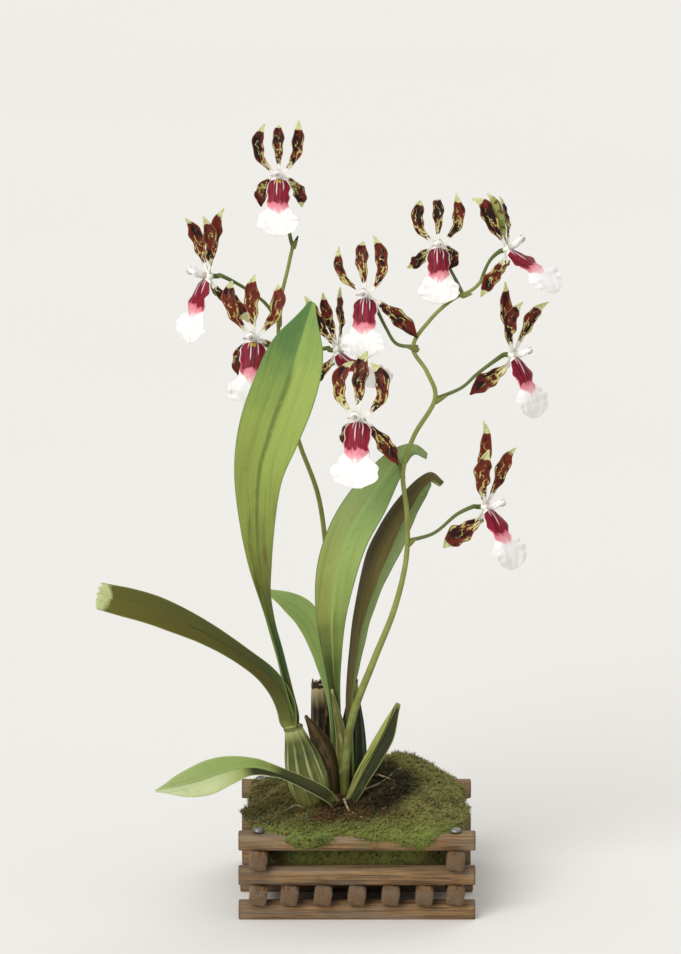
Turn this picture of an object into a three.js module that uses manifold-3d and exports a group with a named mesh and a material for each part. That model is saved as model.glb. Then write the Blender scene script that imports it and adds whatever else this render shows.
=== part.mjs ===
// An odontoglossum orchid in flower, rooted in a mound of moss in a plain slatted basket.
// Millimetres, +Z up, -Y towards the viewer. The origin is the middle of the basket's underside.
import * as THREE from "three";
import { mergeVertices } from "three/addons/utils/BufferGeometryUtils.js";
import Module from "manifold-3d";

const wasm = await Module();
wasm.setup();

// Driving dimensions of the basket
const SLAT_LENGTH = 130;
const SLAT_WIDTH = 10;
const SLAT_HEIGHT = 9.5;
const SLAT_OVERHANG = 6; // from the wall's outer face to the slat's end
const COURSES = 5; // courses 0, 2 and 4 run along X, 1 and 3 along Y
const FLOOR_SLATS = 5;
const FLOOR_PITCH = 18.5;
const PIN_RADIUS = 1.5;
const PIN_HEAD_RADIUS = 3.2;
const PIN_HEAD_HEIGHT = 2.4;
const PIN_FOOT = 1; // from the basket's underside to a pin's foot
const PIN_SIDES = 6;

// Clearances between pieces that touch
const SEAT_GAP = 0.35;
const SLAT_GAP = 0.3;
const PIN_CLEARANCE = 0.3;

// Driving dimensions of the plant
const LEAF_THICKNESS = 1.1;
const SHEATH_THICKNESS = 1.2;
const TEPAL_THICKNESS = 0.8;
const LIP_THICKNESS = 0.8;
const TEPAL_LENGTH = 36;
const TEPAL_HALF_WIDTH = 3.9;
const LIP_LENGTH = 37;
const LIP_HALF_WIDTH = 13.2;
const HUB_RADIUS = 2.6;
const COLUMN_LENGTH = 12;

// Driving dimensions of the moss and the rhizome in it
const MOSS_HALF_WIDTH = 60;
const MOSS_DOME = 16;
const MOSS_SKIRT = 7; // how far the moss hangs below the rim outside the walls
const RHIZOME_RADIUS = 6.2;
const ROOT_RADIUS = 1.5;

const COURSE_PITCH = SLAT_HEIGHT + SLAT_GAP;
const RIM = COURSES * COURSE_PITCH - SLAT_GAP;
const WALL = SLAT_LENGTH / 2 - SLAT_OVERHANG - SLAT_WIDTH / 2; // the middle to a wall's centre line
const FLOOR_TOP = COURSE_PITCH + SLAT_HEIGHT;

// The plant's places were read off a picture 681 pixels wide and 954 high, which shows it life size.
// seen(column, row, depth) is the point of the plane Y = depth that stands at that pixel, for a viewer
// VIEW_DISTANCE away from the picture's middle who looks down on it by VIEW_TILT.
const PIXEL = 0.55;
const PICTURE_MIDDLE = [340.5, 477];
const VIEW_DISTANCE = 3000;
const VIEW_TILT = THREE.MathUtils.degToRad(12);
const LOOKED_AT = new THREE.Vector3(-9, 0, 236);

function seen(column, row, depth) {
  const ahead = new THREE.Vector3(0, Math.cos(VIEW_TILT), -Math.sin(VIEW_TILT));
  const up = new THREE.Vector3(0, Math.sin(VIEW_TILT), Math.cos(VIEW_TILT));
  const eye = LOOKED_AT.clone().addScaledVector(ahead, -VIEW_DISTANCE);
  const ray = ahead.clone().multiplyScalar(VIEW_DISTANCE);
  ray.addScaledVector(new THREE.Vector3(1, 0, 0), (column - PICTURE_MIDDLE[0]) * PIXEL);
  ray.addScaledVector(up, (PICTURE_MIDDLE[1] - row) * PIXEL);
  return eye.addScaledVector(ray, (depth - eye.y) / ray.y);
}

// Numbers and curves
const TAU = 2 * Math.PI;
const radians = THREE.MathUtils.degToRad;

// The value at share s of a list that is spread evenly from 0 to 1, on a smooth curve through them all.
function spread(values, s) {
  const last = values.length - 1;
  const x = THREE.MathUtils.clamp(s, 0, 1) * last;
  const i = Math.min(Math.floor(x), last - 1);
  const f = x - i;
  const [b, c] = [values[i], values[i + 1]];
  const a = values[Math.max(i - 1, 0)];
  const d = values[Math.min(i + 2, last)];
  const [v0, v1] = [(c - a) / 2, (d - b) / 2];
  return (2 * b - 2 * c + v0 + v1) * f ** 3 + (-3 * b + 3 * c - 2 * v0 - v1) * f ** 2 + v0 * f + b;
}

// A spine gives the point, the direction along it, its upper face and its side at a share s.
function frameAt(point, along, face) {
  const upper = face.clone().addScaledVector(along, -face.dot(along)).normalize();
  return { point, along, face: upper, side: along.clone().cross(upper) };
}

// A spine along a route of points, with its upper face turning through the given directions.
function routeSpine(points, faces) {
  const curve = new THREE.CatmullRomCurve3(points, false, "catmullrom", 0.5);
  curve.arcLengthDivisions = 400;
  return (s) => {
    const face = new THREE.Vector3(...[0, 1, 2].map((k) => spread(faces.map((v) => v[k]), s)));
    return frameAt(curve.getPointAt(s), curve.getTangentAt(s), face);
  };
}

// The direction at an angle, in degrees, from one of two square directions towards the other.
function between(from, to, degrees) {
  const angle = radians(degrees);
  return from.clone().multiplyScalar(Math.cos(angle)).addScaledVector(to, Math.sin(angle));
}

// A spine of a petal. In its flower it heads out at a clock angle, seen from the front, leans forwards
// from the flower's plane, and twists on itself. All three are lists, in degrees, spread along its length.
const SPINE_STEPS = 96;
function headingSpine(start, flower, { clocks, leans, twists = [0, 0] }, length) {
  const frames = [];
  const point = start.clone();
  for (let i = 0; i <= SPINE_STEPS; i++) {
    const s = i / SPINE_STEPS;
    const lean = spread(leans, s);
    const out = between(flower.up, flower.right, spread(clocks, s));
    const along = between(out, flower.front, lean);
    const face = between(flower.front, out, -lean);
    face.applyAxisAngle(along, radians(spread(twists, s)));
    frames.push(frameAt(point.clone(), along, face));
    point.addScaledVector(along, length / SPINE_STEPS);
  }
  return (s) => frames[Math.round(THREE.MathUtils.clamp(s, 0, 1) * SPINE_STEPS)];
}

// Geometry and solids
function solid(geometry) {
  const bare = geometry.clone();
  bare.deleteAttribute("normal");
  bare.deleteAttribute("uv");
  const merged = mergeVertices(bare, 1e-4);
  return new wasm.Manifold(
    new wasm.Mesh({
      numProp: 3,
      vertProperties: new Float32Array(merged.attributes.position.array),
      triVerts: new Uint32Array(merged.index.array),
    }),
  );
}

// Every vertex of a geometry moved by a function of its old place.
function reshaped(geometry, place) {
  const position = geometry.attributes.position;
  for (let i = 0; i < position.count; i++) {
    const p = place(position.getX(i), position.getY(i), position.getZ(i));
    position.setXYZ(i, p.x, p.y, p.z);
  }
  return geometry;
}

// A closed sheet: two alike grids of triangles, one on each face, joined round their edge.
// place(across, along, top) gives a vertex for across from -1 to 1 and along from 0 to 1.
function sheetGeometry(columns, rows, place) {
  const positions = [];
  const index = [];
  const half = (columns + 1) * (rows + 1);
  for (const top of [true, false])
    for (let j = 0; j <= rows; j++)
      for (let i = 0; i <= columns; i++)
        positions.push(...place((2 * i) / columns - 1, j / rows, top));
  const at = (i, j, below) => j * (columns + 1) + i + (below ? half : 0);
  for (let j = 0; j < rows; j++)
    for (let i = 0; i < columns; i++) {
      index.push(at(i, j), at(i + 1, j), at(i + 1, j + 1), at(i, j), at(i + 1, j + 1), at(i, j + 1));
      index.push(at(i, j, 1), at(i + 1, j + 1, 1), at(i + 1, j, 1));
      index.push(at(i, j, 1), at(i, j + 1, 1), at(i + 1, j + 1, 1));
    }
  const edge = (a, b) => {
    index.push(at(...a, 1), at(...b, 1), at(...b), at(...a, 1), at(...b), at(...a));
  };
  for (let i = 0; i < columns; i++) {
    edge([i, 0], [i + 1, 0]);
    edge([i + 1, rows], [i, rows]);
  }
  for (let j = 0; j < rows; j++) {
    edge([columns, j], [columns, j + 1]);
    edge([0, j + 1], [0, j]);
  }
  return new THREE.BufferGeometry()
    .setAttribute("position", new THREE.BufferAttribute(new Float32Array(positions), 3))
    .setIndex(index);
}

// A leaf, sheath, petal or lip: a blade along a spine. widths are half widths in mm, folds the angle in
// degrees by which each half is raised, cups the rise of its edges as a share of the half width, and wave
// the rise of its waved edges in mm, which differ from each other by a phase of EDGE_PHASE. grow makes the
// blade that much bigger all round, for the room that it needs in its neighbours.
const LEAST_HALF_WIDTH = 0.5;
const STEEPEST_RUN = 0.6;
const EDGE_PHASE = 2;
const PLAIN_BLADE = { folds: [0, 0], cups: [0, 0], wave: 0, waves: 3, columns: 2, rows: 7 };

function blade(spine, shape, grow = 0) {
  const { widths, folds, cups, wave, waves, thickness, columns, rows } = { ...PLAIN_BLADE, ...shape };
  const stretch = grow / shape.length;
  const place = (across, along, top) => {
    const s = THREE.MathUtils.lerp(-stretch, 1 + stretch, along);
    const { point, along: ahead, face, side } = spine(THREE.MathUtils.clamp(s, 0, 1));
    const width = Math.max(spread(widths, s), LEAST_HALF_WIDTH) + grow;
    const fold = radians(spread(folds, s));
    const cup = spread(cups, s);
    const out = Math.abs(across);
    const phase = TAU * waves * s + (across > 0 ? 0 : EDGE_PHASE);
    const ripple = wave * Math.sin(phase) * Math.sin(Math.PI * s);
    const rise = width * (out * Math.sin(fold) + cup * across ** 2) + ripple * across ** 2;
    const slope = Math.sign(across) * Math.sin(fold) + 2 * cup * across;
    const run = Math.cos(fold);
    const mitre = across === 0 ? 1 / Math.max(run, STEEPEST_RUN) : 1;
    const depth = ((top ? 1 : -1) * (thickness / 2 + grow) * mitre) / Math.hypot(slope, run);
    const p = point.clone();
    p.addScaledVector(side, width * across * run - depth * slope);
    p.addScaledVector(face, rise + depth * run);
    p.addScaledVector(ahead, (s - THREE.MathUtils.clamp(s, 0, 1)) * shape.length);
    return p.toArray();
  };
  return solid(sheetGeometry(columns, rows, place));
}

// A stem, root or pedicel: a round tube along a spine, with its radius spread along it.
function stem(spine, radii, sides, steps, grow = 0) {
  const tube = new THREE.CylinderGeometry(1, 1, 1, sides, steps);
  const place = (x, y, z) => {
    const s = 0.5 - y;
    const { point, along, face, side } = spine(s);
    const radius = spread(radii, s) + grow;
    const end = s <= 0 ? -grow : s >= 1 ? grow : 0;
    return point
      .clone()
      .addScaledVector(side, x * radius)
      .addScaledVector(face, -z * radius)
      .addScaledVector(along, end);
  };
  return solid(reshaped(tube, place));
}

function ball(centre, radius) {
  return solid(new THREE.SphereGeometry(radius, 6, 4).translate(centre.x, centre.y, centre.z));
}

const union = (solids) => solids.reduce((a, b) => a.add(b));

// The largest of a solid's bodies: a cut may leave loose scraps, which are dropped.
function largest(made) {
  const bodies = made.decompose();
  return bodies.reduce((a, b) => (a.volume() > b.volume() ? a : b));
}

function cutBy(made, ...tools) {
  return largest(tools.reduce((left, tool) => left.subtract(tool), made));
}

const plant = new THREE.Group();

function addMesh(name, geometry, material) {
  const mesh = new THREE.Mesh(geometry, material);
  mesh.name = name;
  plant.add(mesh);
}

function addSolid(name, made, material) {
  const { vertProperties, triVerts, numProp } = made.getMesh();
  const positions = new Float32Array((vertProperties.length / numProp) * 3);
  for (let i = 0; i < positions.length / 3; i++)
    positions.set(vertProperties.subarray(i * numProp, i * numProp + 3), i * 3);
  const geometry = new THREE.BufferGeometry()
    .setAttribute("position", new THREE.BufferAttribute(positions, 3))
    .setIndex(new THREE.BufferAttribute(new Uint32Array(triVerts), 1));
  geometry.computeVertexNormals();
  addMesh(name, geometry, material);
}

function finish(color, roughness, metalness = 0) {
  return new THREE.MeshStandardMaterial({ color, roughness, metalness });
}

const materials = {
  wood: finish("#8a6a45", 0.75),
  wire: finish("#7d7f80", 0.4, 0.9),
  moss: finish("#5c6a2c", 0.95),
  rhizome: finish("#6b5433", 0.85),
  bulb: finish("#6c7f35", 0.5),
  sheath: finish("#5a4a24", 0.6),
  leaf: finish("#5f7d2f", 0.45),
  stem: finish("#6d7a36", 0.5),
  petal: finish("#4a160c", 0.45),
  lip: finish("#f3eeea", 0.5),
};

// Basket: slats laid crosswise like the logs of a cabin, held by a pin at each corner
function slatBox(course, alongX, offset, grow = 0) {
  const [length, width, height] = [SLAT_LENGTH, SLAT_WIDTH, SLAT_HEIGHT].map((v) => v + 2 * grow);
  const box = new THREE.BoxGeometry(length, width, height).translate(0, alongX ? offset : -offset, 0);
  if (!alongX) box.rotateZ(Math.PI / 2);
  return box.translate(0, 0, course * COURSE_PITCH + SLAT_HEIGHT / 2);
}

const slats = [];
for (let course = 0; course < COURSES; course++) {
  const alongX = course % 2 === 0;
  const walls = alongX ? ["front", "back"] : ["left", "right"];
  walls.forEach((wall, i) => {
    const name = `basket_slat_${wall}_${course + 1}`;
    slats.push({ name, course, alongX, offset: i ? WALL : -WALL, pinned: true });
  });
}
slats.push({ name: "basket_bearer", course: 0, alongX: true, offset: 0, pinned: false });
for (let i = 0; i < FLOOR_SLATS; i++) {
  const offset = (i - (FLOOR_SLATS - 1) / 2) * FLOOR_PITCH;
  slats.push({ name: `basket_floor_slat_${i + 1}`, course: 1, alongX: false, offset, pinned: false });
}

const corners = [-WALL, WALL].flatMap((x) => [-WALL, WALL].map((y) => [x, y]));

function pinGeometry([x, y], grow = 0) {
  const foot = PIN_FOOT - grow;
  const neck = RIM + PIN_CLEARANCE - grow;
  const radius = PIN_RADIUS + grow;
  const head = PIN_HEAD_RADIUS + grow;
  const top = RIM + PIN_CLEARANCE + PIN_HEAD_HEIGHT + grow;
  const profile = [
    [0, foot],
    [radius, foot],
    [radius, neck],
    [head, neck],
    [head, (neck + top) / 2],
    [radius, top],
    [0, top],
  ];
  const lathe = new THREE.LatheGeometry(profile.map((p) => new THREE.Vector2(...p)), PIN_SIDES);
  return lathe.rotateX(Math.PI / 2).translate(x, y, 0);
}

const pinHoles = corners.map(([x, y]) => {
  const radius = PIN_RADIUS + PIN_CLEARANCE;
  const hole = new THREE.CylinderGeometry(radius, radius, 2 * RIM, PIN_SIDES);
  return solid(hole.rotateX(Math.PI / 2).translate(x, y, RIM / 2));
});

for (const { name, course, alongX, offset, pinned } of slats) {
  const plain = slatBox(course, alongX, offset);
  if (pinned) addSolid(name, cutBy(solid(plain), ...pinHoles), materials.wood);
  else addMesh(name, plain, materials.wood);
}
corners.forEach((corner, i) => addMesh(`basket_pin_${i + 1}`, pinGeometry(corner), materials.wire));

// Rhizome: the creeping stock that joins the bulbs, with thick roots that run down into the moss
const UPWARDS = [
  [0, 0, 1],
  [0, 0, 1],
];
const rhizomeRoutes = [
  [
    [-27, -21, 52],
    [-16, -17, 53],
    [-7, -12, 52],
    [3, -13, 51],
  ],
  [
    [-19, 13, 52],
    [-10, 11, 53],
    [-5, 3, 53],
    [-7, -12, 52],
  ],
];
const rootRoutes = [
  [
    [-20, -18, 50],
    [-28, -30, 42],
    [-40, -36, 32],
  ],
  [
    [-2, -12, 49],
    [14, -20, 41],
    [30, -34, 33],
  ],
  [
    [-14, 12, 50],
    [-24, 26, 42],
    [-36, 38, 33],
  ],
];
const STOCK_SWELL = [0.74, 1, 0.9, 1, 0.7];
const ROOT_TAPER = [1, 0.95, 0.8];

function buriedStem(route, radius, swell, sides, steps, grow) {
  const points = route.map((p) => new THREE.Vector3(...p));
  return stem(routeSpine(points, UPWARDS), swell.map((r) => r * radius), sides, steps, grow);
}

function rhizomeSolid(grow = 0) {
  return union([
    ...rhizomeRoutes.map((route) => buriedStem(route, RHIZOME_RADIUS, STOCK_SWELL, 7, 4, grow)),
    ...rootRoutes.map((route) => buriedStem(route, ROOT_RADIUS, ROOT_TAPER, 4, 3, grow)),
  ]);
}

// Pseudobulbs: flattened, ribbed ovals, each between its foot and its top. half holds its two half
// widths in mm, and its outline is in shares of them.
const OVAL = [0.62, 0.92, 1, 0.93, 0.74, 0.46, 0.26];
const STUMP = [0.7, 0.95, 1, 0.96, 0.9, 0.84, 0.8];
const BULB_RIBS = 10;
const BULB_RIB_DEPTH = 0.05;
const ROOM_SIDES = 10;
const bulbs = [
  {
    name: "pseudobulb_front",
    foot: [316, 808, -19],
    top: [293, 727, -20],
    half: [10.6, 8.5],
    outline: OVAL,
  },
  {
    name: "pseudobulb_centre",
    foot: [351, 808, 8],
    top: [354, 680, 8],
    half: [7.8, 6.5],
    outline: OVAL,
  },
  {
    name: "pseudobulb_back",
    foot: [324, 806, 14],
    top: [320, 685, 15],
    half: [6.2, 6],
    outline: STUMP,
  },
];

// A bulb, or with grow the plain oval room that it needs, whose sides clear the bulb's ribs.
function bulbSolid({ foot, top, half, outline }, grow = 0) {
  const spine = routeSpine([seen(...foot), seen(...top)], [
    [0, -1, 0],
    [0, -1, 0],
  ]);
  const sides = grow ? ROOM_SIDES : 2 * BULB_RIBS;
  const plain = (1 + BULB_RIB_DEPTH) / Math.cos(Math.PI / ROOM_SIDES);
  const place = (x, y, z) => {
    const s = 0.5 - y;
    const { point, along, face, side } = spine(s);
    const angle = Math.atan2(z, x);
    const ribbed = 1 + BULB_RIB_DEPTH * Math.cos(BULB_RIBS * angle) * Math.sin(Math.PI * s);
    const size = spread(outline, s) * (grow ? plain : ribbed);
    const end = s <= 0 ? -grow : s >= 1 ? grow : 0;
    return point
      .clone()
      .addScaledVector(side, x * (size * half[0] + grow))
      .addScaledVector(face, -z * (size * half[1] + grow))
      .addScaledVector(along, end);
  };
  return solid(reshaped(new THREE.CylinderGeometry(1, 1, 1, sides, 5), place));
}

// Leaves. Each has a route from its foot to its tip, as seen() reads it, the ways that its upper face
// looks, and its half widths in mm.
const leaves = [
  {
    name: "leaf_tall",
    route: [
      [297, 726, -20],
      [286, 690, -22],
      [277, 653, -25],
      [268, 619, -28],
      [260, 580, -30],
      [257, 530, -33],
      [259, 475, -36],
      [270, 432, -38],
      [287, 385, -39],
      [303, 333, -38],
      [312, 303, -36],
    ],
    faces: [
      [0.75, -0.65, 0],
      [0.6, -0.8, 0],
      [0.05, -1, 0.1],
      [-0.1, -1, 0.1],
      [-0.1, -1, 0.1],
    ],
    widths: [3.2, 3.6, 3.6, 4.2, 7.2, 10.4, 13.6, 17.4, 17.8, 12.4, 2.2],
    folds: [52, 50, 40, 26, 20, 16, 12, 10, 12],
    cups: [0, 0, 0.05, 0.1, 0.12, 0.1],
    wave: 0.8,
    rows: 14,
  },
  {
    name: "leaf_arching",
    route: [
      [293, 730, -19],
      [288, 702, -20],
      [270, 675, -22],
      [241, 651, -25],
      [208, 630, -29],
      [176, 616, -31],
      [145, 606, -33],
      [98, 596, -36],
    ],
    faces: [
      [-0.5, -0.85, 0.2],
      [-0.3, -0.9, 0.3],
      [-0.1, -0.9, 0.4],
      [0, -0.9, 0.4],
      [0, -0.9, 0.35],
    ],
    widths: [4.8, 6.8, 7.2, 7.4, 8, 8.6, 8.8, 8.7, 8.3, 7.4],
    folds: [34, 26, 20, 16, 12, 10, 8],
    cups: [0.15, 0.1, 0.08, 0.1],
    wave: 0.5,
    rows: 12,
  },
  {
    name: "leaf_low",
    route: [
      [336, 808, -27],
      [322, 796, -32],
      [300, 784, -36],
      [277, 774, -39],
      [252, 768, -42],
      [226, 772, -45],
      [195, 782, -48],
      [156, 791, -52],
    ],
    faces: [
      [0.1, -0.7, 0.7],
      [0.2, -0.7, 0.7],
      [0.1, -0.8, 0.6],
      [0, -0.95, 0.3],
      [0, -0.95, 0.35],
    ],
    widths: [4, 5, 4.8, 4, 5.4, 8.4, 9.4, 6.4, 0.7],
    folds: [40, 38, 34, 26, 16, 12, 12],
    cups: [0, 0, 0.05],
    wave: 0.5,
    rows: 12,
  },
  {
    name: "leaf_behind",
    route: [
      [331, 808, 3],
      [331, 760, 5],
      [328, 705, 8],
      [319, 655, 11],
      [304, 617, 13],
      [286, 597, 14],
      [264, 588, 14],
    ],
    faces: [
      [-0.5, -0.8, 0],
      [-0.5, -0.8, 0.1],
      [-0.3, -0.9, 0.3],
      [-0.1, -0.9, 0.4],
    ],
    widths: [2.4, 2.6, 3.2, 4.8, 7, 7.7, 6.2, 0.8],
    folds: [55, 50, 36, 20, 14, 12],
    cups: [0, 0, 0.06],
    wave: 0.4,
    rows: 11,
  },
  {
    name: "leaf_centre",
    route: [
      [341, 808, -5],
      [339, 760, -5],
      [336, 710, -6],
      [333, 660, -8],
      [332, 612, -10],
      [338, 568, -12],
      [350, 532, -13],
      [369, 500, -13],
      [387, 474, -13],
      [402, 457, -12],
      [414, 451, -11],
      [426, 457, -10],
    ],
    faces: [
      [0.2, -1, 0],
      [0.1, -1, 0],
      [-0.1, -1, 0],
      [-0.1, -1, 0.1],
      [0, -0.95, 0.3],
      [0.1, -0.5, 0.9],
    ],
    widths: [2.8, 3.2, 3.4, 4.2, 6.6, 9.4, 11.6, 12, 11.4, 7.4, 0.9],
    folds: [56, 52, 46, 30, 22, 16, 14, 16],
    cups: [0, 0, 0.06, 0.08],
    wave: 0.7,
    rows: 14,
  },
  {
    name: "leaf_dark",
    route: [
      [350, 808, -3],
      [349, 760, -3],
      [347, 715, -3],
      [348, 680, -3],
      [351, 645, -3],
      [355, 612, -3],
      [366, 558, -4],
      [379, 529, -4],
      [392, 508, -5],
      [406, 491, -5],
      [420, 478, -6],
      [432, 473, -6],
      [443, 482, -7],
    ],
    faces: [
      [0.9, -0.4, 0.1],
      [0.9, -0.4, 0.1],
      [0.9, -0.4, 0],
      [0.8, -0.4, -0.5],
      [0.7, -0.4, -0.6],
      [0.1, -0.4, -0.9],
    ],
    widths: [2.4, 2.6, 2.8, 3.6, 6, 9, 13, 17, 15.5, 10, 0.8],
    folds: [62, 64, 66, 66, 66, 60],
    cups: [0, 0, -0.05],
    wave: 0.4,
    rows: 14,
  },
];
const LEAF_COLUMNS = 4;

// Sheaths: short, stiff blades that clasp the bulbs and the foot of each shoot
const sheaths = [
  {
    name: "sheath_brown",
    route: [
      [334, 810, -17],
      [333, 778, -17],
      [325, 748, -16],
      [306, 716, -14],
    ],
    faces: [
      [-0.5, 0.85, 0.1],
      [-0.5, 0.85, 0.1],
      [-0.4, 0.85, -0.2],
    ],
    widths: [4.4, 5.8, 5.6, 4, 0.8],
    folds: [30, 32, 30, 24],
  },
  {
    name: "sheath_pale",
    route: [
      [340, 810, -12],
      [343, 765, -12],
      [341, 730, -11],
      [332, 690, -10],
    ],
    faces: [
      [-0.3, 0.9, 0],
      [-0.3, 0.9, 0],
      [-0.3, 0.9, 0],
    ],
    widths: [3.6, 4, 3.8, 2.8, 0.8],
    folds: [36, 36, 32, 30],
  },
  {
    name: "sheath_shoot",
    route: [
      [345, 812, -20],
      [364, 774, -22],
      [383, 740, -24],
      [398, 704, -25],
    ],
    faces: [
      [-0.5, -0.75, 0.4],
      [-0.55, -0.75, 0.3],
      [-0.6, -0.75, 0.2],
    ],
    widths: [3.2, 4.6, 5.2, 4.8, 1.2],
    folds: [48, 44, 38, 40],
  },
];

function leafSolid(leaf, thickness, columns, grow = 0) {
  const points = leaf.route.map((p) => seen(...p));
  const length = new THREE.CatmullRomCurve3(points, false, "catmullrom", 0.5).getLength();
  return blade(routeSpine(points, leaf.faces), { rows: 7, ...leaf, length, thickness, columns }, grow);
}

// Flowers. A flower stands at its column's foot, turned to the viewer's right and tipped up, in degrees.
// Its petals say how they head out, as headingSpine reads them, and how long and wide they are for their
// kind. Each flower gives only what differs from the standard five.
const mirrored = (petal) => ({ ...petal, clocks: petal.clocks.map((clock) => -clock) });
const DORSAL = { clocks: [0, 0, 0, 0], leans: [8, 2, -12, -50], length: 0.96, width: 0.92 };
const UPPER_RIGHT = { clocks: [46, 28, 4, -6], leans: [14, 8, -8, -30], length: 1.05, width: 1 };
const UPPER_LEFT = mirrored(UPPER_RIGHT);
const LOWER_RIGHT = {
  clocks: [108, 140, 168, 182],
  leans: [-28, -38, -42, -30],
  length: 0.92,
  width: 1.05,
};
const LOWER_LEFT = mirrored(LOWER_RIGHT);
const STANDARD = [DORSAL, UPPER_RIGHT, UPPER_LEFT, LOWER_RIGHT, LOWER_LEFT];
const LIP_LEANS = [42, 20, 12, 8, 0, -12];

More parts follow.
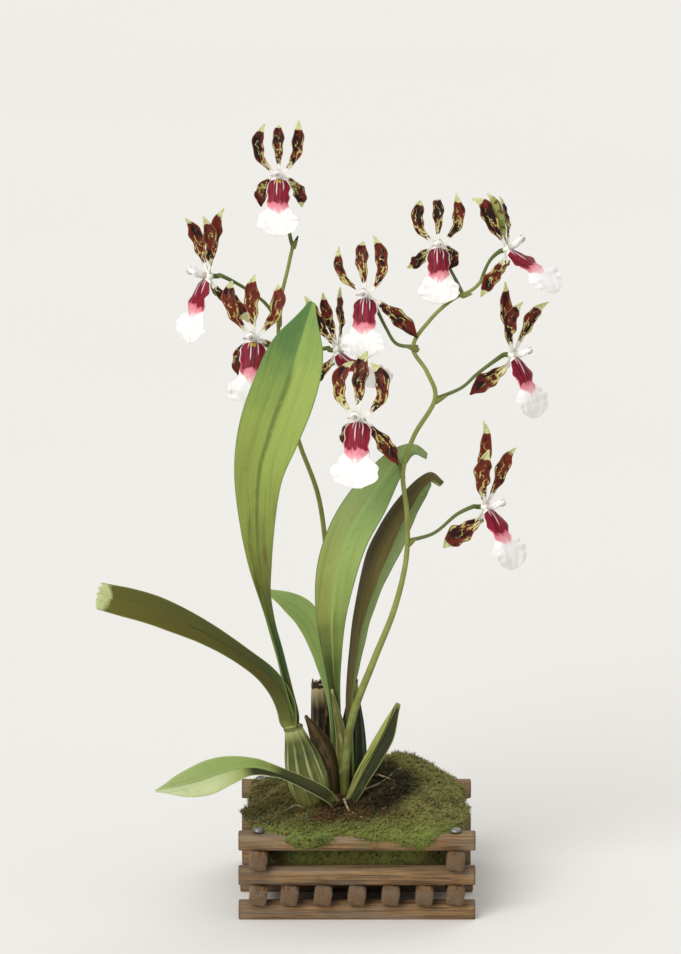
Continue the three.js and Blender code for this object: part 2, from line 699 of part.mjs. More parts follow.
const blooms = [
  {
    place: [279, 176, 3],
    turn: -4,
    tip: 4,
    size: 0.84,
    petals: [
      { clocks: [0, -2, -2, 0], leans: [8, 0, -20, -75] },
      { clocks: [50, 28, 2, 4], leans: [14, 8, 0, 10], length: 1.1, width: 0.95 },
      { clocks: [-54, -34, 4, 30], leans: [14, 8, -4, -20], length: 1.06, width: 0.95 },
      {},
      {},
    ],
  },
  {
    place: [209, 276, 8],
    turn: -72,
    tip: 4,
    size: 0.98,
    petals: [
      { clocks: [0, 4, 10, 20], leans: [-2, -6, -4, -20], twists: [20, 50, 50, 30], length: 1.06 },
      { clocks: [34, 22, 10, 4], leans: [8, 6, 14, 40], twists: [20, 50, 60, 60] },
      { clocks: [-34, -22, -10, -4], leans: [10, 14, 22, 50], twists: [20, 50, 60, 60], length: 0.95 },
      {
        clocks: [140, 158, 164, 166],
        leans: [-16, -50, -46, -30],
        twists: [0, -50, -50, -40],
        width: 1.2,
      },
      { clocks: [-140, -158, -164, -166], leans: [-12, -48, -50, -40] },
    ],
    lipLean: 0,
  },
  {
    place: [254, 338, -12],
    turn: -8,
    tip: 2,
    size: 0.96,
    petals: [
      { clocks: [0, -4, -2, 14], leans: [8, 2, -6, -16], width: 1.1 },
      { clocks: [50, 36, 6, -30], leans: [16, 10, -14, -70] },
      { clocks: [-44, -32, -12, 20], leans: [16, 10, -14, -60] },
      {},
      { clocks: [-120, -155, -180, -190], length: 1.1 },
    ],
  },
  {
    place: [366, 295, -20],
    turn: -10,
    tip: 4,
    size: 0.88,
    petals: [
      { clocks: [-6, -8, -6, 0], leans: [8, 2, -20, -70], width: 1 },
      { clocks: [50, 20, -12, -34], leans: [12, 6, -2, -6], length: 1.12 },
      { clocks: [-56, -50, -10, 4], leans: [10, 4, 0, 0], length: 0.98, width: 0.72 },
      { clocks: [120, 126, 134, 146], leans: [-6, -12, -14, -10], length: 1.12, width: 1.25 },
      { clocks: [-150, -165, -175, -180], leans: [-46, -60, -64, -60] },
    ],
  },
  {
    place: [337, 350, 6],
    turn: 58,
    tip: 6,
    size: 0.9,
    petals: [
      { clocks: [0, -4, -6, -10], leans: [-8, -14, -8, 10], twists: [-20, -40, -40, -40] },
      { clocks: [34, 20, 6, 0], leans: [0, -6, -4, 20] },
      { clocks: [-34, -24, -8, 0], leans: [-10, -18, -20, -30], twists: [-20, -50, -50, -30] },
      { clocks: [140, 158, 164, 168], leans: [-16, -54, -54, -44] },
      { clocks: [-136, -154, -160, -164], leans: [-10, -42, -46, -36], twists: [0, 40, 50, 40] },
    ],
    lipLeans: [40, 58, 66, 60, 50, 36],
  },
  {
    place: [359, 418, -42],
    turn: -12,
    tip: 4,
    size: 0.98,
    petals: [
      { clocks: [0, 2, 4, 20], leans: [8, 2, -14, -40], length: 1.02, width: 1.1 },
      { clocks: [62, 34, -14, -64], leans: [14, 8, -10, -30], length: 1.1 },
      { clocks: [-54, -24, 12, 60], leans: [14, 8, -10, -30], length: 1.03 },
      { clocks: [126, 140, 148, 150], leans: [-10, -16, -16, -8], width: 1.15 },
      { clocks: [-120, -150, -172, -180], leans: [-34, -46, -46, -34] },
    ],
  },
  {
    place: [438, 245, -6],
    turn: 3,
    tip: 2,
    size: 0.82,
    petals: [
      { leans: [8, 2, -30, -100] },
      { clocks: [54, 34, -2, -10], leans: [12, 6, -4, -6], length: 1.06 },
      { clocks: [-56, -38, 8, 20], leans: [14, 8, -20, -70] },
      { clocks: [104, 140, 186, 206], length: 0.84 },
      { clocks: [-118, -138, -146, -116], length: 0.86 },
    ],
  },
  {
    place: [507, 249, -2],
    turn: 66,
    tip: 22,
    size: 0.92,
    petals: [
      { clocks: [0, 0, 0, 0], leans: [-10, -18, -26, -40], twists: [-10, -30, -40, -20] },
      { clocks: [30, 20, 6, 0], leans: [-6, -14, -22, -20] },
      {
        clocks: [-34, -22, -10, -10],
        leans: [-16, -28, -26, -60],
        twists: [-20, -60, -64, -40],
        width: 1.25,
      },
      { clocks: [130, 158, 164, 168], leans: [-4, -58, -60, -50], length: 0.9 },
      {
        clocks: [-130, -158, -164, -168],
        leans: [-4, -50, -54, -44],
        twists: [0, 50, 60, 50],
        length: 0.9,
      },
    ],
    lipLeans: [46, 42, 34, 28, 18, 4],
  },
  {
    place: [512, 355, -12],
    turn: 64,
    tip: 4,
    size: 0.94,
    petals: [
      { clocks: [0, 2, 2, 0], leans: [-2, -8, -2, 6], twists: [-20, -50, -50, -30], length: 1.14 },
      { clocks: [34, 22, 8, 0], leans: [18, 22, 34, 76], twists: [-10, -30, -40, -40] },
      { clocks: [-36, -24, -8, 0], leans: [8, 12, 22, 60], twists: [-20, -50, -56, -50] },
      { clocks: [140, 156, 162, 166], leans: [-16, -62, -64, -54] },
      {
        clocks: [-140, -156, -162, -166],
        leans: [-12, -52, -54, -44],
        twists: [0, 50, 60, 50],
        width: 1.3,
      },
    ],
    lipLean: 6,
  },
  {
    place: [485, 507, -20],
    turn: 62,
    tip: 4,
    size: 0.96,
    petals: [
      { clocks: [0, 0, 6, -8], leans: [2, 0, 10, -12], twists: [-20, -40, -50, -40], length: 1.34 },
      { clocks: [34, 22, 8, 0], leans: [16, 20, 22, 56], twists: [-10, -40, -50, -50] },
      { clocks: [-34, -24, -8, 0], leans: [8, 12, 16, 30], twists: [-20, -50, -60, -50], width: 1.2 },
      { clocks: [140, 156, 162, 166], leans: [-12, -48, -54, -44] },
      {
        clocks: [-140, -156, -162, -166],
        leans: [-10, -48, -56, -40],
        twists: [0, 50, 60, 50],
        width: 1.5,
      },
    ],
    lipLean: 12,
  },
];

const TEPAL_OUTLINE = [0.27, 0.4, 0.72, 0.98, 1, 0.92, 0.66, 0.14];
const TEPAL_FOLDS = [34, 26, 16, 12, 16, 24];
const LIP_OUTLINE = [0.3, 0.5, 0.52, 0.5, 0.46, 0.48, 0.74, 0.98, 1, 0.84, 0.3];
const LIP_CUPS = [-0.3, -0.34, -0.3, -0.22, -0.1, 0.06, 0.1];
const COLUMN_PATH = { clocks: [0, 0], leans: [84, 74, 56] };
const COLUMN_RADII = [2.1, 1.8, 2, 2.6, 2.7, 1.2];
const PETAL_WAVES = { wave: 0.5, waves: 2.5 };
const LIP_WAVES = { wave: 1.1, waves: 3 };
const PETAL_ROOT = 0.6; // how far a petal starts from the hub's middle, as a share of its radius

function flowerFrame({ place, turn, tip }) {
  const [t, e] = [radians(turn), radians(tip)];
  const front = new THREE.Vector3(Math.sin(t) * Math.cos(e), -Math.cos(t) * Math.cos(e), Math.sin(e));
  const up = new THREE.Vector3(-Math.sin(t) * Math.sin(e), Math.cos(t) * Math.sin(e), Math.cos(e));
  return { centre: seen(...place), front, up, right: up.clone().cross(front) };
}

function petalsSolid(bloom, grow = 0) {
  const flower = flowerFrame(bloom);
  const hub = ball(flower.centre, HUB_RADIUS * bloom.size + grow);
  const columnSpine = headingSpine(flower.centre, flower, COLUMN_PATH, COLUMN_LENGTH * bloom.size);
  const columnRadii = COLUMN_RADII.map((r) => r * bloom.size);
  const petals = STANDARD.map((standard, i) => {
    const petal = { ...standard, ...bloom.petals[i] };
    const length = TEPAL_LENGTH * petal.length * bloom.size;
    const heading = headingSpine(flower.centre, flower, petal, 1)(0).along;
    const root = flower.centre.clone().addScaledVector(heading, PETAL_ROOT * HUB_RADIUS * bloom.size);
    const spine = headingSpine(root, flower, petal, length);
    const widths = TEPAL_OUTLINE.map((w) => w * TEPAL_HALF_WIDTH * petal.width * bloom.size);
    const shape = { ...PETAL_WAVES, widths, folds: TEPAL_FOLDS, thickness: TEPAL_THICKNESS };
    return blade(spine, { ...shape, length, rows: 6 }, grow);
  });
  return union([hub, stem(columnSpine, columnRadii, 5, 3, grow), ...petals]);
}

function lipSolid(bloom, grow = 0) {
  const flower = flowerFrame(bloom);
  const leans = bloom.lipLeans ?? LIP_LEANS.map((lean) => lean + (bloom.lipLean ?? 0));
  const path = { clocks: [180, 180], leans };
  const length = LIP_LENGTH * bloom.size;
  const heading = headingSpine(flower.centre, flower, path, 1)(0).along;
  const start = flower.centre.clone().addScaledVector(heading, HUB_RADIUS * bloom.size + SEAT_GAP);
  const spine = headingSpine(start, flower, path, length);
  const widths = LIP_OUTLINE.map((w) => w * LIP_HALF_WIDTH * bloom.size);
  const shape = { ...LIP_WAVES, widths, cups: LIP_CUPS, thickness: LIP_THICKNESS, length };
  return blade(spine, { ...shape, columns: 4, rows: 8 }, grow);
}

// Flower spikes: a zigzag stem, with a stalk to each of its flowers and a bract where each stalk leaves it
const spikes = [
  {
    name: "flower_spike_left",
    route: [
      [344, 806, 17],
      [340, 740, 17],
      [333, 670, 16],
      [328, 600, 15],
      [326, 550, 14],
      [318, 495, 13],
      [300, 445, 12],
      [287, 400, 12],
      [279, 350, 12],
      [280, 305, 11],
      [288, 268, 10],
      [293, 245, 10],
    ],
    radii: [2.4, 2.1, 1.9, 1.6, 1.3, 1.1],
    stalks: [
      { bloom: 0, via: [[293, 247, 10], [290, 236, 13], [286, 210, 20], [282, 190, 17]] },
      { bloom: 1, via: [[279, 322, 11], [264, 302, 14], [243, 287, 12], [222, 276, 6]] },
      { bloom: 2, via: [[280, 362, 12], [274, 352, 13], [264, 344, 10]] },
      { bloom: 4, via: [[286, 392, 12], [299, 366, 13], [315, 352, 12], [328, 348, 10]] },
    ],
    bracts: [
      [[293, 248, 9], [298, 236, 8]],
      [[279, 326, 11], [281, 312, 8]],
      [[281, 366, 12], [276, 352, 16]],
      [[287, 396, 12], [284, 380, 9]],
    ],
  },
  {
    name: "flower_spike_right",
    route: [
      [345, 806, -14],
      [346, 762, -16],
      [353, 715, -18],
      [374, 660, -21],
      [394, 610, -24],
      [406, 560, -25],
      [407, 515, -25],
      [403, 472, -24],
      [414, 436, -23],
      [435, 399, -21],
      [427, 372, -19],
      [413, 347, -17],
      [430, 320, -14],
      [452, 300, -10],
      [472, 290, -7],
      [484, 278, -5],
    ],
    radii: [2.4, 2.2, 2, 1.8, 1.7, 1.5, 1.2, 1],
    stalks: [
      { bloom: 9, via: [[408, 541, -25], [434, 533, -25], [456, 515, -23], [472, 507, -22]] },
      { bloom: 5, via: [[403, 472, -24], [392, 454, -23], [374, 434, -28]] },
      { bloom: 8, via: [[435, 399, -21], [461, 388, -19], [477, 374, -17], [493, 362, -15]] },
      { bloom: 3, via: [[418, 347, -17], [397, 344, -15], [386, 328, -13], [376, 308, -12]] },
      { bloom: 6, via: [[463, 295, -8], [457, 282, 2], [449, 267, 12]] },
      { bloom: 7, via: [[481, 282, -5], [485, 270, -2], [491, 259, 1]] },
    ],
    bracts: [
      [[408, 545, -25], [417, 538, -29]],
      [[403, 478, -24], [398, 458, -22]],
      [[435, 402, -21], [447, 396, -25]],
      [[418, 350, -17], [404, 346, -21]],
      [[462, 296, -8], [472, 294, -11]],
    ],
  },
];
const STEM_SIDES = 5;
const STEM_ROWS = 1.7; // rings of a main stem for each point of its route
const STALK_RADII = [1.15, 1, 1, 1.1, 1.25];
const STALK_NECK = 3; // the last stretch of a stalk, straight behind its flower
const BRACT_RADII = [1.5, 0.4];
const STEM_TURN = [
  [0, -1, 0.2],
  [0, -1, 0.2],
];

function spikeSolid({ route, radii, stalks, bracts }, grow = 0) {
  const mainSpine = routeSpine(route.map((p) => seen(...p)), STEM_TURN);
  const main = stem(mainSpine, radii, STEM_SIDES, Math.round(STEM_ROWS * route.length), grow);
  const stalkTubes = stalks.map(({ bloom, via }) => {
    const { centre, front } = flowerFrame(blooms[bloom]);
    const end = HUB_RADIUS * blooms[bloom].size + SEAT_GAP;
    const behind = [end + STALK_NECK, end].map((back) => centre.clone().addScaledVector(front, -back));
    const points = [...via.map((p) => seen(...p)), ...behind];
    return stem(routeSpine(points, STEM_TURN), STALK_RADII, STEM_SIDES, points.length + 2, grow);
  });
  const bractTubes = bracts.map((ends) => {
    return stem(routeSpine(ends.map((p) => seen(...p)), STEM_TURN), BRACT_RADII, 4, 1, grow);
  });
  return union([main, ...stalkTubes, ...bractTubes]);
}

// Moss: a lathed mound, squared off to fill the basket, lumpy on top, and cut back from what stands in it
const MOSS_HEEL = 1.5; // height of the mound's edge above the rim
const MOSS_SLOPE = [0.15, 0.12]; // its rise to the right and to the back
const MOSS_LUMPS = [1.7, 1.3]; // heights of its two crossing sets of lumps
const MOSS_HOLLOW = { x: -8, y: -14, depth: 4, reach: 20 }; // the dip round the plant's foot
const MOSS_SAG = 1.5;
const MOSS_SIDES = 28;

function mossHeight(x, y) {
  const half = MOSS_HALF_WIDTH;
  const out = Math.min(1, Math.cbrt(Math.abs(x / half) ** 3 + Math.abs(y / half) ** 3));
  const dome = MOSS_DOME * (1 - out ** 2.6);
  const slope = (MOSS_SLOPE[0] * x + MOSS_SLOPE[1] * y) * (1 - out ** 4);
  const coarse = MOSS_LUMPS[0] * Math.sin(x / 6.5 + 1) * Math.cos(y / 7.5);
  const fine = MOSS_LUMPS[1] * Math.sin(x / 4.1 - y / 5.3);
  const away = Math.hypot(x - MOSS_HOLLOW.x, y - MOSS_HOLLOW.y) / MOSS_HOLLOW.reach;
  return RIM + MOSS_HEEL + dome + slope + coarse + fine - MOSS_HOLLOW.depth * Math.exp(-(away ** 2));
}

function mossSolid() {
  const half = MOSS_HALF_WIDTH;
  const plug = WALL - SLAT_WIDTH / 2 - SEAT_GAP;
  const floor = FLOOR_TOP + SEAT_GAP;
  const hem = RIM - MOSS_SKIRT;
  // Each ring is its half width and its height. Those of the top take their height from mossHeight.
  const walls = [[0, floor], [plug, floor], [plug, hem + 1]];
  const skirt = [[half - 3, hem], [half, hem + 4], [half + 0.5, RIM]];
  const top = [0.97, 0.9, 0.78, 0.62, 0.44, 0.24, 0].map((share) => [half * share, null]);
  const profile = [...walls, ...skirt, ...top];
  const points = profile.map(([radius], i) => new THREE.Vector2(radius, i));
  const place = (x, level, z) => {
    const ring = Math.round(level);
    const angle = Math.atan2(z, x);
    const square = (Math.abs(Math.cos(angle)) ** 5 + Math.abs(Math.sin(angle)) ** 5) ** (-1 / 5);
    const onSkirt = ring >= walls.length && ring < walls.length + skirt.length;
    const onTop = ring >= walls.length + skirt.length;
    const ragged = 1.6 * Math.sin(7 * angle) + 1.2 * Math.sin(13 * angle + 1);
    const raggedShare = onSkirt || ring === walls.length + skirt.length ? 1 : onTop ? 0.4 : 0;
    const outwards = Math.hypot(x, z) > 1 ? ragged * raggedShare : 0;
    const reach = Math.hypot(x, z) * square + outwards;
    const [px, py] = [Math.cos(angle) * reach, -Math.sin(angle) * reach];
    const sag = onSkirt ? MOSS_SAG * Math.sin(5 * angle) : 0;
    return { x: px, y: py, z: onTop ? mossHeight(px, py) : profile[ring][1] + sag };
  };
  return solid(reshaped(new THREE.LatheGeometry(points, MOSS_SIDES), place));
}

// Assembly: each piece is cut back from those that it seats against, so that all stay clear of each other
const rhizomeRoom = rhizomeSolid(SEAT_GAP);
addSolid("rhizome", rhizomeSolid(), materials.rhizome);

const rooms = []; // the room of all that stands in the moss, cut from each later piece
function plantPiece(name, build, material) {
  addSolid(name, cutBy(build(0), rhizomeRoom, ...rooms), material);
  rooms.push(build(SEAT_GAP));
}

for (const bulb of bulbs) plantPiece(bulb.name, (grow) => bulbSolid(bulb, grow), materials.bulb);
for (const spike of spikes) {
  addSolid(spike.name, cutBy(spikeSolid(spike), rhizomeRoom), materials.stem);
  rooms.push(spikeSolid(spike, SEAT_GAP));
}
for (const leaf of leaves)
  plantPiece(leaf.name, (grow) => leafSolid(leaf, LEAF_THICKNESS, LEAF_COLUMNS, grow), materials.leaf);
for (const sheath of sheaths)
  plantPiece(sheath.name, (grow) => leafSolid(sheath, SHEATH_THICKNESS, 2, grow), materials.sheath);

blooms.forEach((bloom, i) => {
  const number = String(i + 1).padStart(2, "0");
  addSolid(`bloom_${number}_petals`, petalsSolid(bloom), materials.petal);
  addSolid(`bloom_${number}_lip`, lipSolid(bloom), materials.lip);
});

for (const { course, alongX, offset, pinned } of slats)
  if (pinned && course >= COURSES - 2) rooms.push(solid(slatBox(course, alongX, offset, SEAT_GAP)));
for (const corner of corners) rooms.push(solid(pinGeometry(corner, SEAT_GAP)));
addSolid("moss_mound", cutBy(mossSolid(), rhizomeRoom, ...rooms), materials.moss);

export default plant;
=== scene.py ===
"""The looks of an odontoglossum orchid in flower, in moss in a square slatted basket.

Shapes are worked out in millimetres in the part's own frame and made in metres: +Z is up and -Y is
towards the viewer. Routes, widths and headings follow the lists in the part's source, with finer
edges and tips.
"""

import logging
import math
from collections.abc import Callable, Sequence
from dataclasses import dataclass, field, replace
from enum import Enum

import bpy
import numpy as np
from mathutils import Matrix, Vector, noise

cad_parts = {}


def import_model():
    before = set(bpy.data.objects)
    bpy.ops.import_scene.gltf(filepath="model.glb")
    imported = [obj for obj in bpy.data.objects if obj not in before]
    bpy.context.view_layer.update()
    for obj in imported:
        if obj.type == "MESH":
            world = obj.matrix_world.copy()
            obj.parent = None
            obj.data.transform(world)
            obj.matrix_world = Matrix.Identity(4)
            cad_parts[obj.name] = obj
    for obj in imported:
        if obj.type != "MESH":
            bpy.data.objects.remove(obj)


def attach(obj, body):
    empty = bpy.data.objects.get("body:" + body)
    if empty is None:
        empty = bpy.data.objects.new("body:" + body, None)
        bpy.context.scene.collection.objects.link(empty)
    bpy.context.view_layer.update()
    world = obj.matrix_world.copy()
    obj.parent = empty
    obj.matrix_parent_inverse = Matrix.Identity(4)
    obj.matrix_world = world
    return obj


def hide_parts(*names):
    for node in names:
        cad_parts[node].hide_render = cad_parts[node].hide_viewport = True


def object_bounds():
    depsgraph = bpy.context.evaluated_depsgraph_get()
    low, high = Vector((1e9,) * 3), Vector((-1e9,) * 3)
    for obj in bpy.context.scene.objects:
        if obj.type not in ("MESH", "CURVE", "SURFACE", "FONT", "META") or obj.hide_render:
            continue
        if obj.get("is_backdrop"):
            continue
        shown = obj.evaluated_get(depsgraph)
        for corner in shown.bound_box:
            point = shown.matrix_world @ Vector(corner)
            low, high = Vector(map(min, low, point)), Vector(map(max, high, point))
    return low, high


log = logging.getLogger("orchid")

Array = np.ndarray
Socket = bpy.types.NodeSocket
Object = bpy.types.Object
Material = bpy.types.Material

MM = 0.001
TAU = 2 * math.pi
BODY = "root"


# Numbers and curves


def unit(v: Array) -> Array:
    """Return the directions of v, each of length 1."""
    return v / np.maximum(np.linalg.norm(v, axis=-1, keepdims=True), 1e-9)


def spread(values: Sequence, s: Array) -> Array:
    """Read a list that is spread evenly from 0 to 1, on a smooth curve through all its values.

    Args:
        values: Numbers, or vectors of one length.
        s: Shares from 0 to 1.

    Returns:
        The value at each share.
    """
    listed = np.asarray(values, float)
    last = len(listed) - 1
    x = np.clip(s, 0, 1) * last
    i = np.minimum(np.asarray(x).astype(int), last - 1)
    f = x - i
    if listed.ndim > 1:
        f = np.asarray(f)[..., None]
    before, after = listed[np.maximum(i - 1, 0)], listed[np.minimum(i + 2, last)]
    b, c = listed[i], listed[i + 1]
    v0, v1 = (c - before) / 2, (after - b) / 2
    return (2 * b - 2 * c + v0 + v1) * f**3 + (-3 * b + 3 * c - 2 * v0 - v1) * f**2 + v0 * f + b


def bell(x: Array, middle: float, reach: float) -> Array:
    """Return a bump of height 1 at the middle that fades out over its reach."""
    return np.exp(-(((x - middle) / reach) ** 2))


def turns(sides: int) -> Array:
    """Return angles spread evenly round a circle."""
    return np.arange(sides) / sides * TAU


def squared(angle: Array, power: float) -> Array:
    """Return the radius of a squared-off circle at angles round it."""
    return (np.abs(np.cos(angle)) ** power + np.abs(np.sin(angle)) ** power) ** (-1 / power)


def ball(s: Array) -> Array:
    """Return the radius of a ball of radius 1 at shares of its length."""
    return np.sqrt(1 - (2 * s - 1) ** 2)


def rough(points: Array, scale: float, seed: float, octaves: int = 3) -> Array:
    """Return smooth random heights, about -1 to 1, at points in mm.

    Args:
        points: Places, as rows of x, y, z.
        scale: Size of the largest lumps in mm.
        seed: Offset that picks the pattern.
        octaves: How many finer sets of lumps are added.

    Returns:
        One height for each point.
    """
    shift = Vector((seed * 17.3, seed * 5.1, -seed * 9.7))
    flat = np.reshape(points, (-1, 3))
    heights = [noise.fractal(Vector(p) / scale + shift, 0.6, 2.1, octaves) for p in flat]
    return np.reshape(heights, np.shape(points)[:-1])


@dataclass(frozen=True)
class Picture:
    """The viewer's picture, whose pixels give the places of the plant, in mm."""

    width: int = 681
    height: int = 954
    pixel: float = 0.55
    distance: float = 3000.0
    tilt: float = 12.0
    looked_at: tuple[float, float, float] = (-9.0, 0.0, 236.0)

    def ahead(self) -> Array:
        """Return the direction that the viewer looks in."""
        tilt = math.radians(self.tilt)
        return np.array([0.0, math.cos(tilt), -math.sin(tilt)])

    def eye(self) -> Array:
        """Return the viewer's place."""
        return np.array(self.looked_at) - self.ahead() * self.distance

    def seen(self, column: float, row: float, depth: float) -> Array:
        """Return the point of the plane Y = depth that stands at a pixel.

        Args:
            column: Pixels from the picture's left edge.
            row: Pixels from its top edge.
            depth: The plane's Y in mm.

        Returns:
            The point in mm.
        """
        ahead, eye = self.ahead(), self.eye()
        up = np.array([0.0, -ahead[2], ahead[1]])
        ray = ahead * self.distance + up * (self.height / 2 - row) * self.pixel
        ray[0] += (column - self.width / 2) * self.pixel
        return eye + ray * (depth - eye[1]) / ray[1]

    def route(self, places: Sequence) -> Array:
        """Return the points of a route that is given as column, row and depth."""
        return np.array([self.seen(*place) for place in places])

    def camera(self) -> Object:
        """Set the scene's camera at the viewer's place."""
        data = bpy.data.cameras.new("camera")
        data.sensor_fit = "AUTO"
        data.sensor_width = 36.0
        data.lens = data.sensor_width * self.distance / (self.height * self.pixel)
        data.clip_end = 100.0
        camera = bpy.data.objects.new("camera", data)
        camera.location = self.eye() * MM
        camera.rotation_euler = (math.radians(90 - self.tilt), 0, 0)
        bpy.context.scene.collection.objects.link(camera)
        bpy.context.scene.camera = camera
        return camera


PICTURE = Picture()
# The height in mm of the dark bud scar at the end of the left spike
SCAR_HEIGHT = float(PICTURE.seen(298, 236, 8)[2])


@dataclass
class Frames:
    """Places along a spine, each with its directions along, up from its face and to its side."""

    point: Array
    along: Array
    face: Array

    def __post_init__(self) -> None:
        """Square the face to the direction along, and find the side."""
        level = np.sum(self.face * self.along, axis=-1, keepdims=True)
        self.face = unit(self.face - level * self.along)
        self.side = np.cross(self.along, self.face)


def straight(points: Array, along: Sequence[float], face: Sequence[float]) -> Frames:
    """Return frames at points that all look the same way."""
    count = len(points)
    return Frames(points, np.tile(along, (count, 1)), np.tile(face, (count, 1)))


class RouteSpine:
    """A spine along a route of points, whose face turns through the given directions."""

    DIVISIONS = 400

    def __init__(self, points: Array, faces: Sequence) -> None:
        """Measure the route.

        Args:
            points: The route's points in mm.
            faces: Directions of the face, spread along the route.
        """
        p = np.asarray(points, float)
        self.knots = np.vstack([2 * p[0] - p[1], p, 2 * p[-1] - p[-2]])
        self.faces = np.asarray(faces, float)
        self.times = np.linspace(0, len(p) - 1, self.DIVISIONS + 1)
        steps = np.linalg.norm(np.diff(self._curve(self.times)[0], axis=0), axis=1)
        self.lengths = np.concatenate([[0.0], np.cumsum(steps)])
        self.length = float(self.lengths[-1])

    def _curve(self, t: Array) -> tuple[Array, Array]:
        """Return the points and the slopes of the curve through the route at times t."""
        i = np.minimum(t.astype(int), len(self.knots) - 4)
        f = (t - i)[:, None]
        a, b, c, d = (self.knots[i + k] for k in range(4))
        v0, v1 = (c - a) / 2, (d - b) / 2
        cubic, square = 2 * b - 2 * c + v0 + v1, -3 * b + 3 * c - 2 * v0 - v1
        return cubic * f**3 + square * f**2 + v0 * f + b, 3 * cubic * f**2 + 2 * square * f + v0

    def __call__(self, s: Array) -> Frames:
        """Return the frames at shares s of the length."""
        t = np.interp(np.clip(s, 0, 1) * self.length, self.lengths, self.times)
        point, slope = self._curve(t)
        return Frames(point, unit(slope), spread(self.faces, s))


@dataclass(frozen=True)
class Heading:
    """How a petal heads out of its flower: clock angles, leans to the front and twists, in degrees."""

    clocks: Sequence[float]
    leans: Sequence[float]
    twists: Sequence[float] = (0, 0)
    length: float = 1.0
    width: float = 1.0


@dataclass(frozen=True)
class FlowerFrame:
    """A flower's centre and its directions to the front, up and right."""

    centre: Array
    front: Array
    up: Array

    @property
    def right(self) -> Array:
        """Return the direction to the flower's right, as its viewer sees it."""
        return np.cross(self.up, self.front)


class HeadingSpine:
    """A spine of a petal, which heads out of its flower as its Heading says."""

    STEPS = 96

    def __init__(self, start: Array, flower: FlowerFrame, heading: Heading, length: float) -> None:
        """Step along the heading.

        Args:
            start: Where the petal starts, in mm.
            flower: The flower's frame.
            heading: The petal's angles.
            length: The petal's length in mm.
        """
        s = np.linspace(0, 1, self.STEPS + 1)
        clock, lean, twist = (
            np.radians(spread(angles, s))[:, None]
            for angles in (heading.clocks, heading.leans, heading.twists)
        )
        out = flower.up * np.cos(clock) + flower.right * np.sin(clock)
        along = out * np.cos(lean) + flower.front * np.sin(lean)
        face = flower.front * np.cos(lean) - out * np.sin(lean)
        face = face * np.cos(twist) + np.cross(along, face) * np.sin(twist)
        steps = np.vstack([np.zeros(3), along[:-1] * length / self.STEPS])
        self.shares, self.length = s, length
        self.rows = np.hstack([start + np.cumsum(steps, axis=0), along, face])

    def __call__(self, s: Array) -> Frames:
        """Return the frames at shares s of the length."""
        rows = np.stack([np.interp(s, self.shares, column) for column in self.rows.T], axis=-1)
        return Frames(rows[:, :3], unit(rows[:, 3:6]), rows[:, 6:])


# Meshes


def link(thing: Object) -> Object:
    """Put an object into the scene."""
    bpy.context.scene.collection.objects.link(thing)
    return thing


def ring_walls(rings: int, sides: int) -> Array:
    """Return the faces between rings of points, as rows of four of the points' numbers."""
    numbers = np.arange(rings * sides).reshape(rings, sides)
    beside = np.roll(numbers, -1, axis=1)
    return np.stack([numbers[:-1], numbers[1:], beside[1:], beside[:-1]], axis=-1).reshape(-1, 4)


def closed_walls(rings: int, sides: int) -> Array:
    """Return the walls of rings that two more points, which follow the rings, close at both ends."""
    first, last = np.arange(sides), np.arange(sides) + (rings - 1) * sides
    foot, tip, none = (np.full(sides, v) for v in (rings * sides, rings * sides + 1, -1))
    caps = [
        np.stack([first, np.roll(first, -1), foot, none], axis=-1),
        np.stack([np.roll(last, -1), last, tip, none], axis=-1),
    ]
    return np.concatenate([ring_walls(rings, sides), *caps])


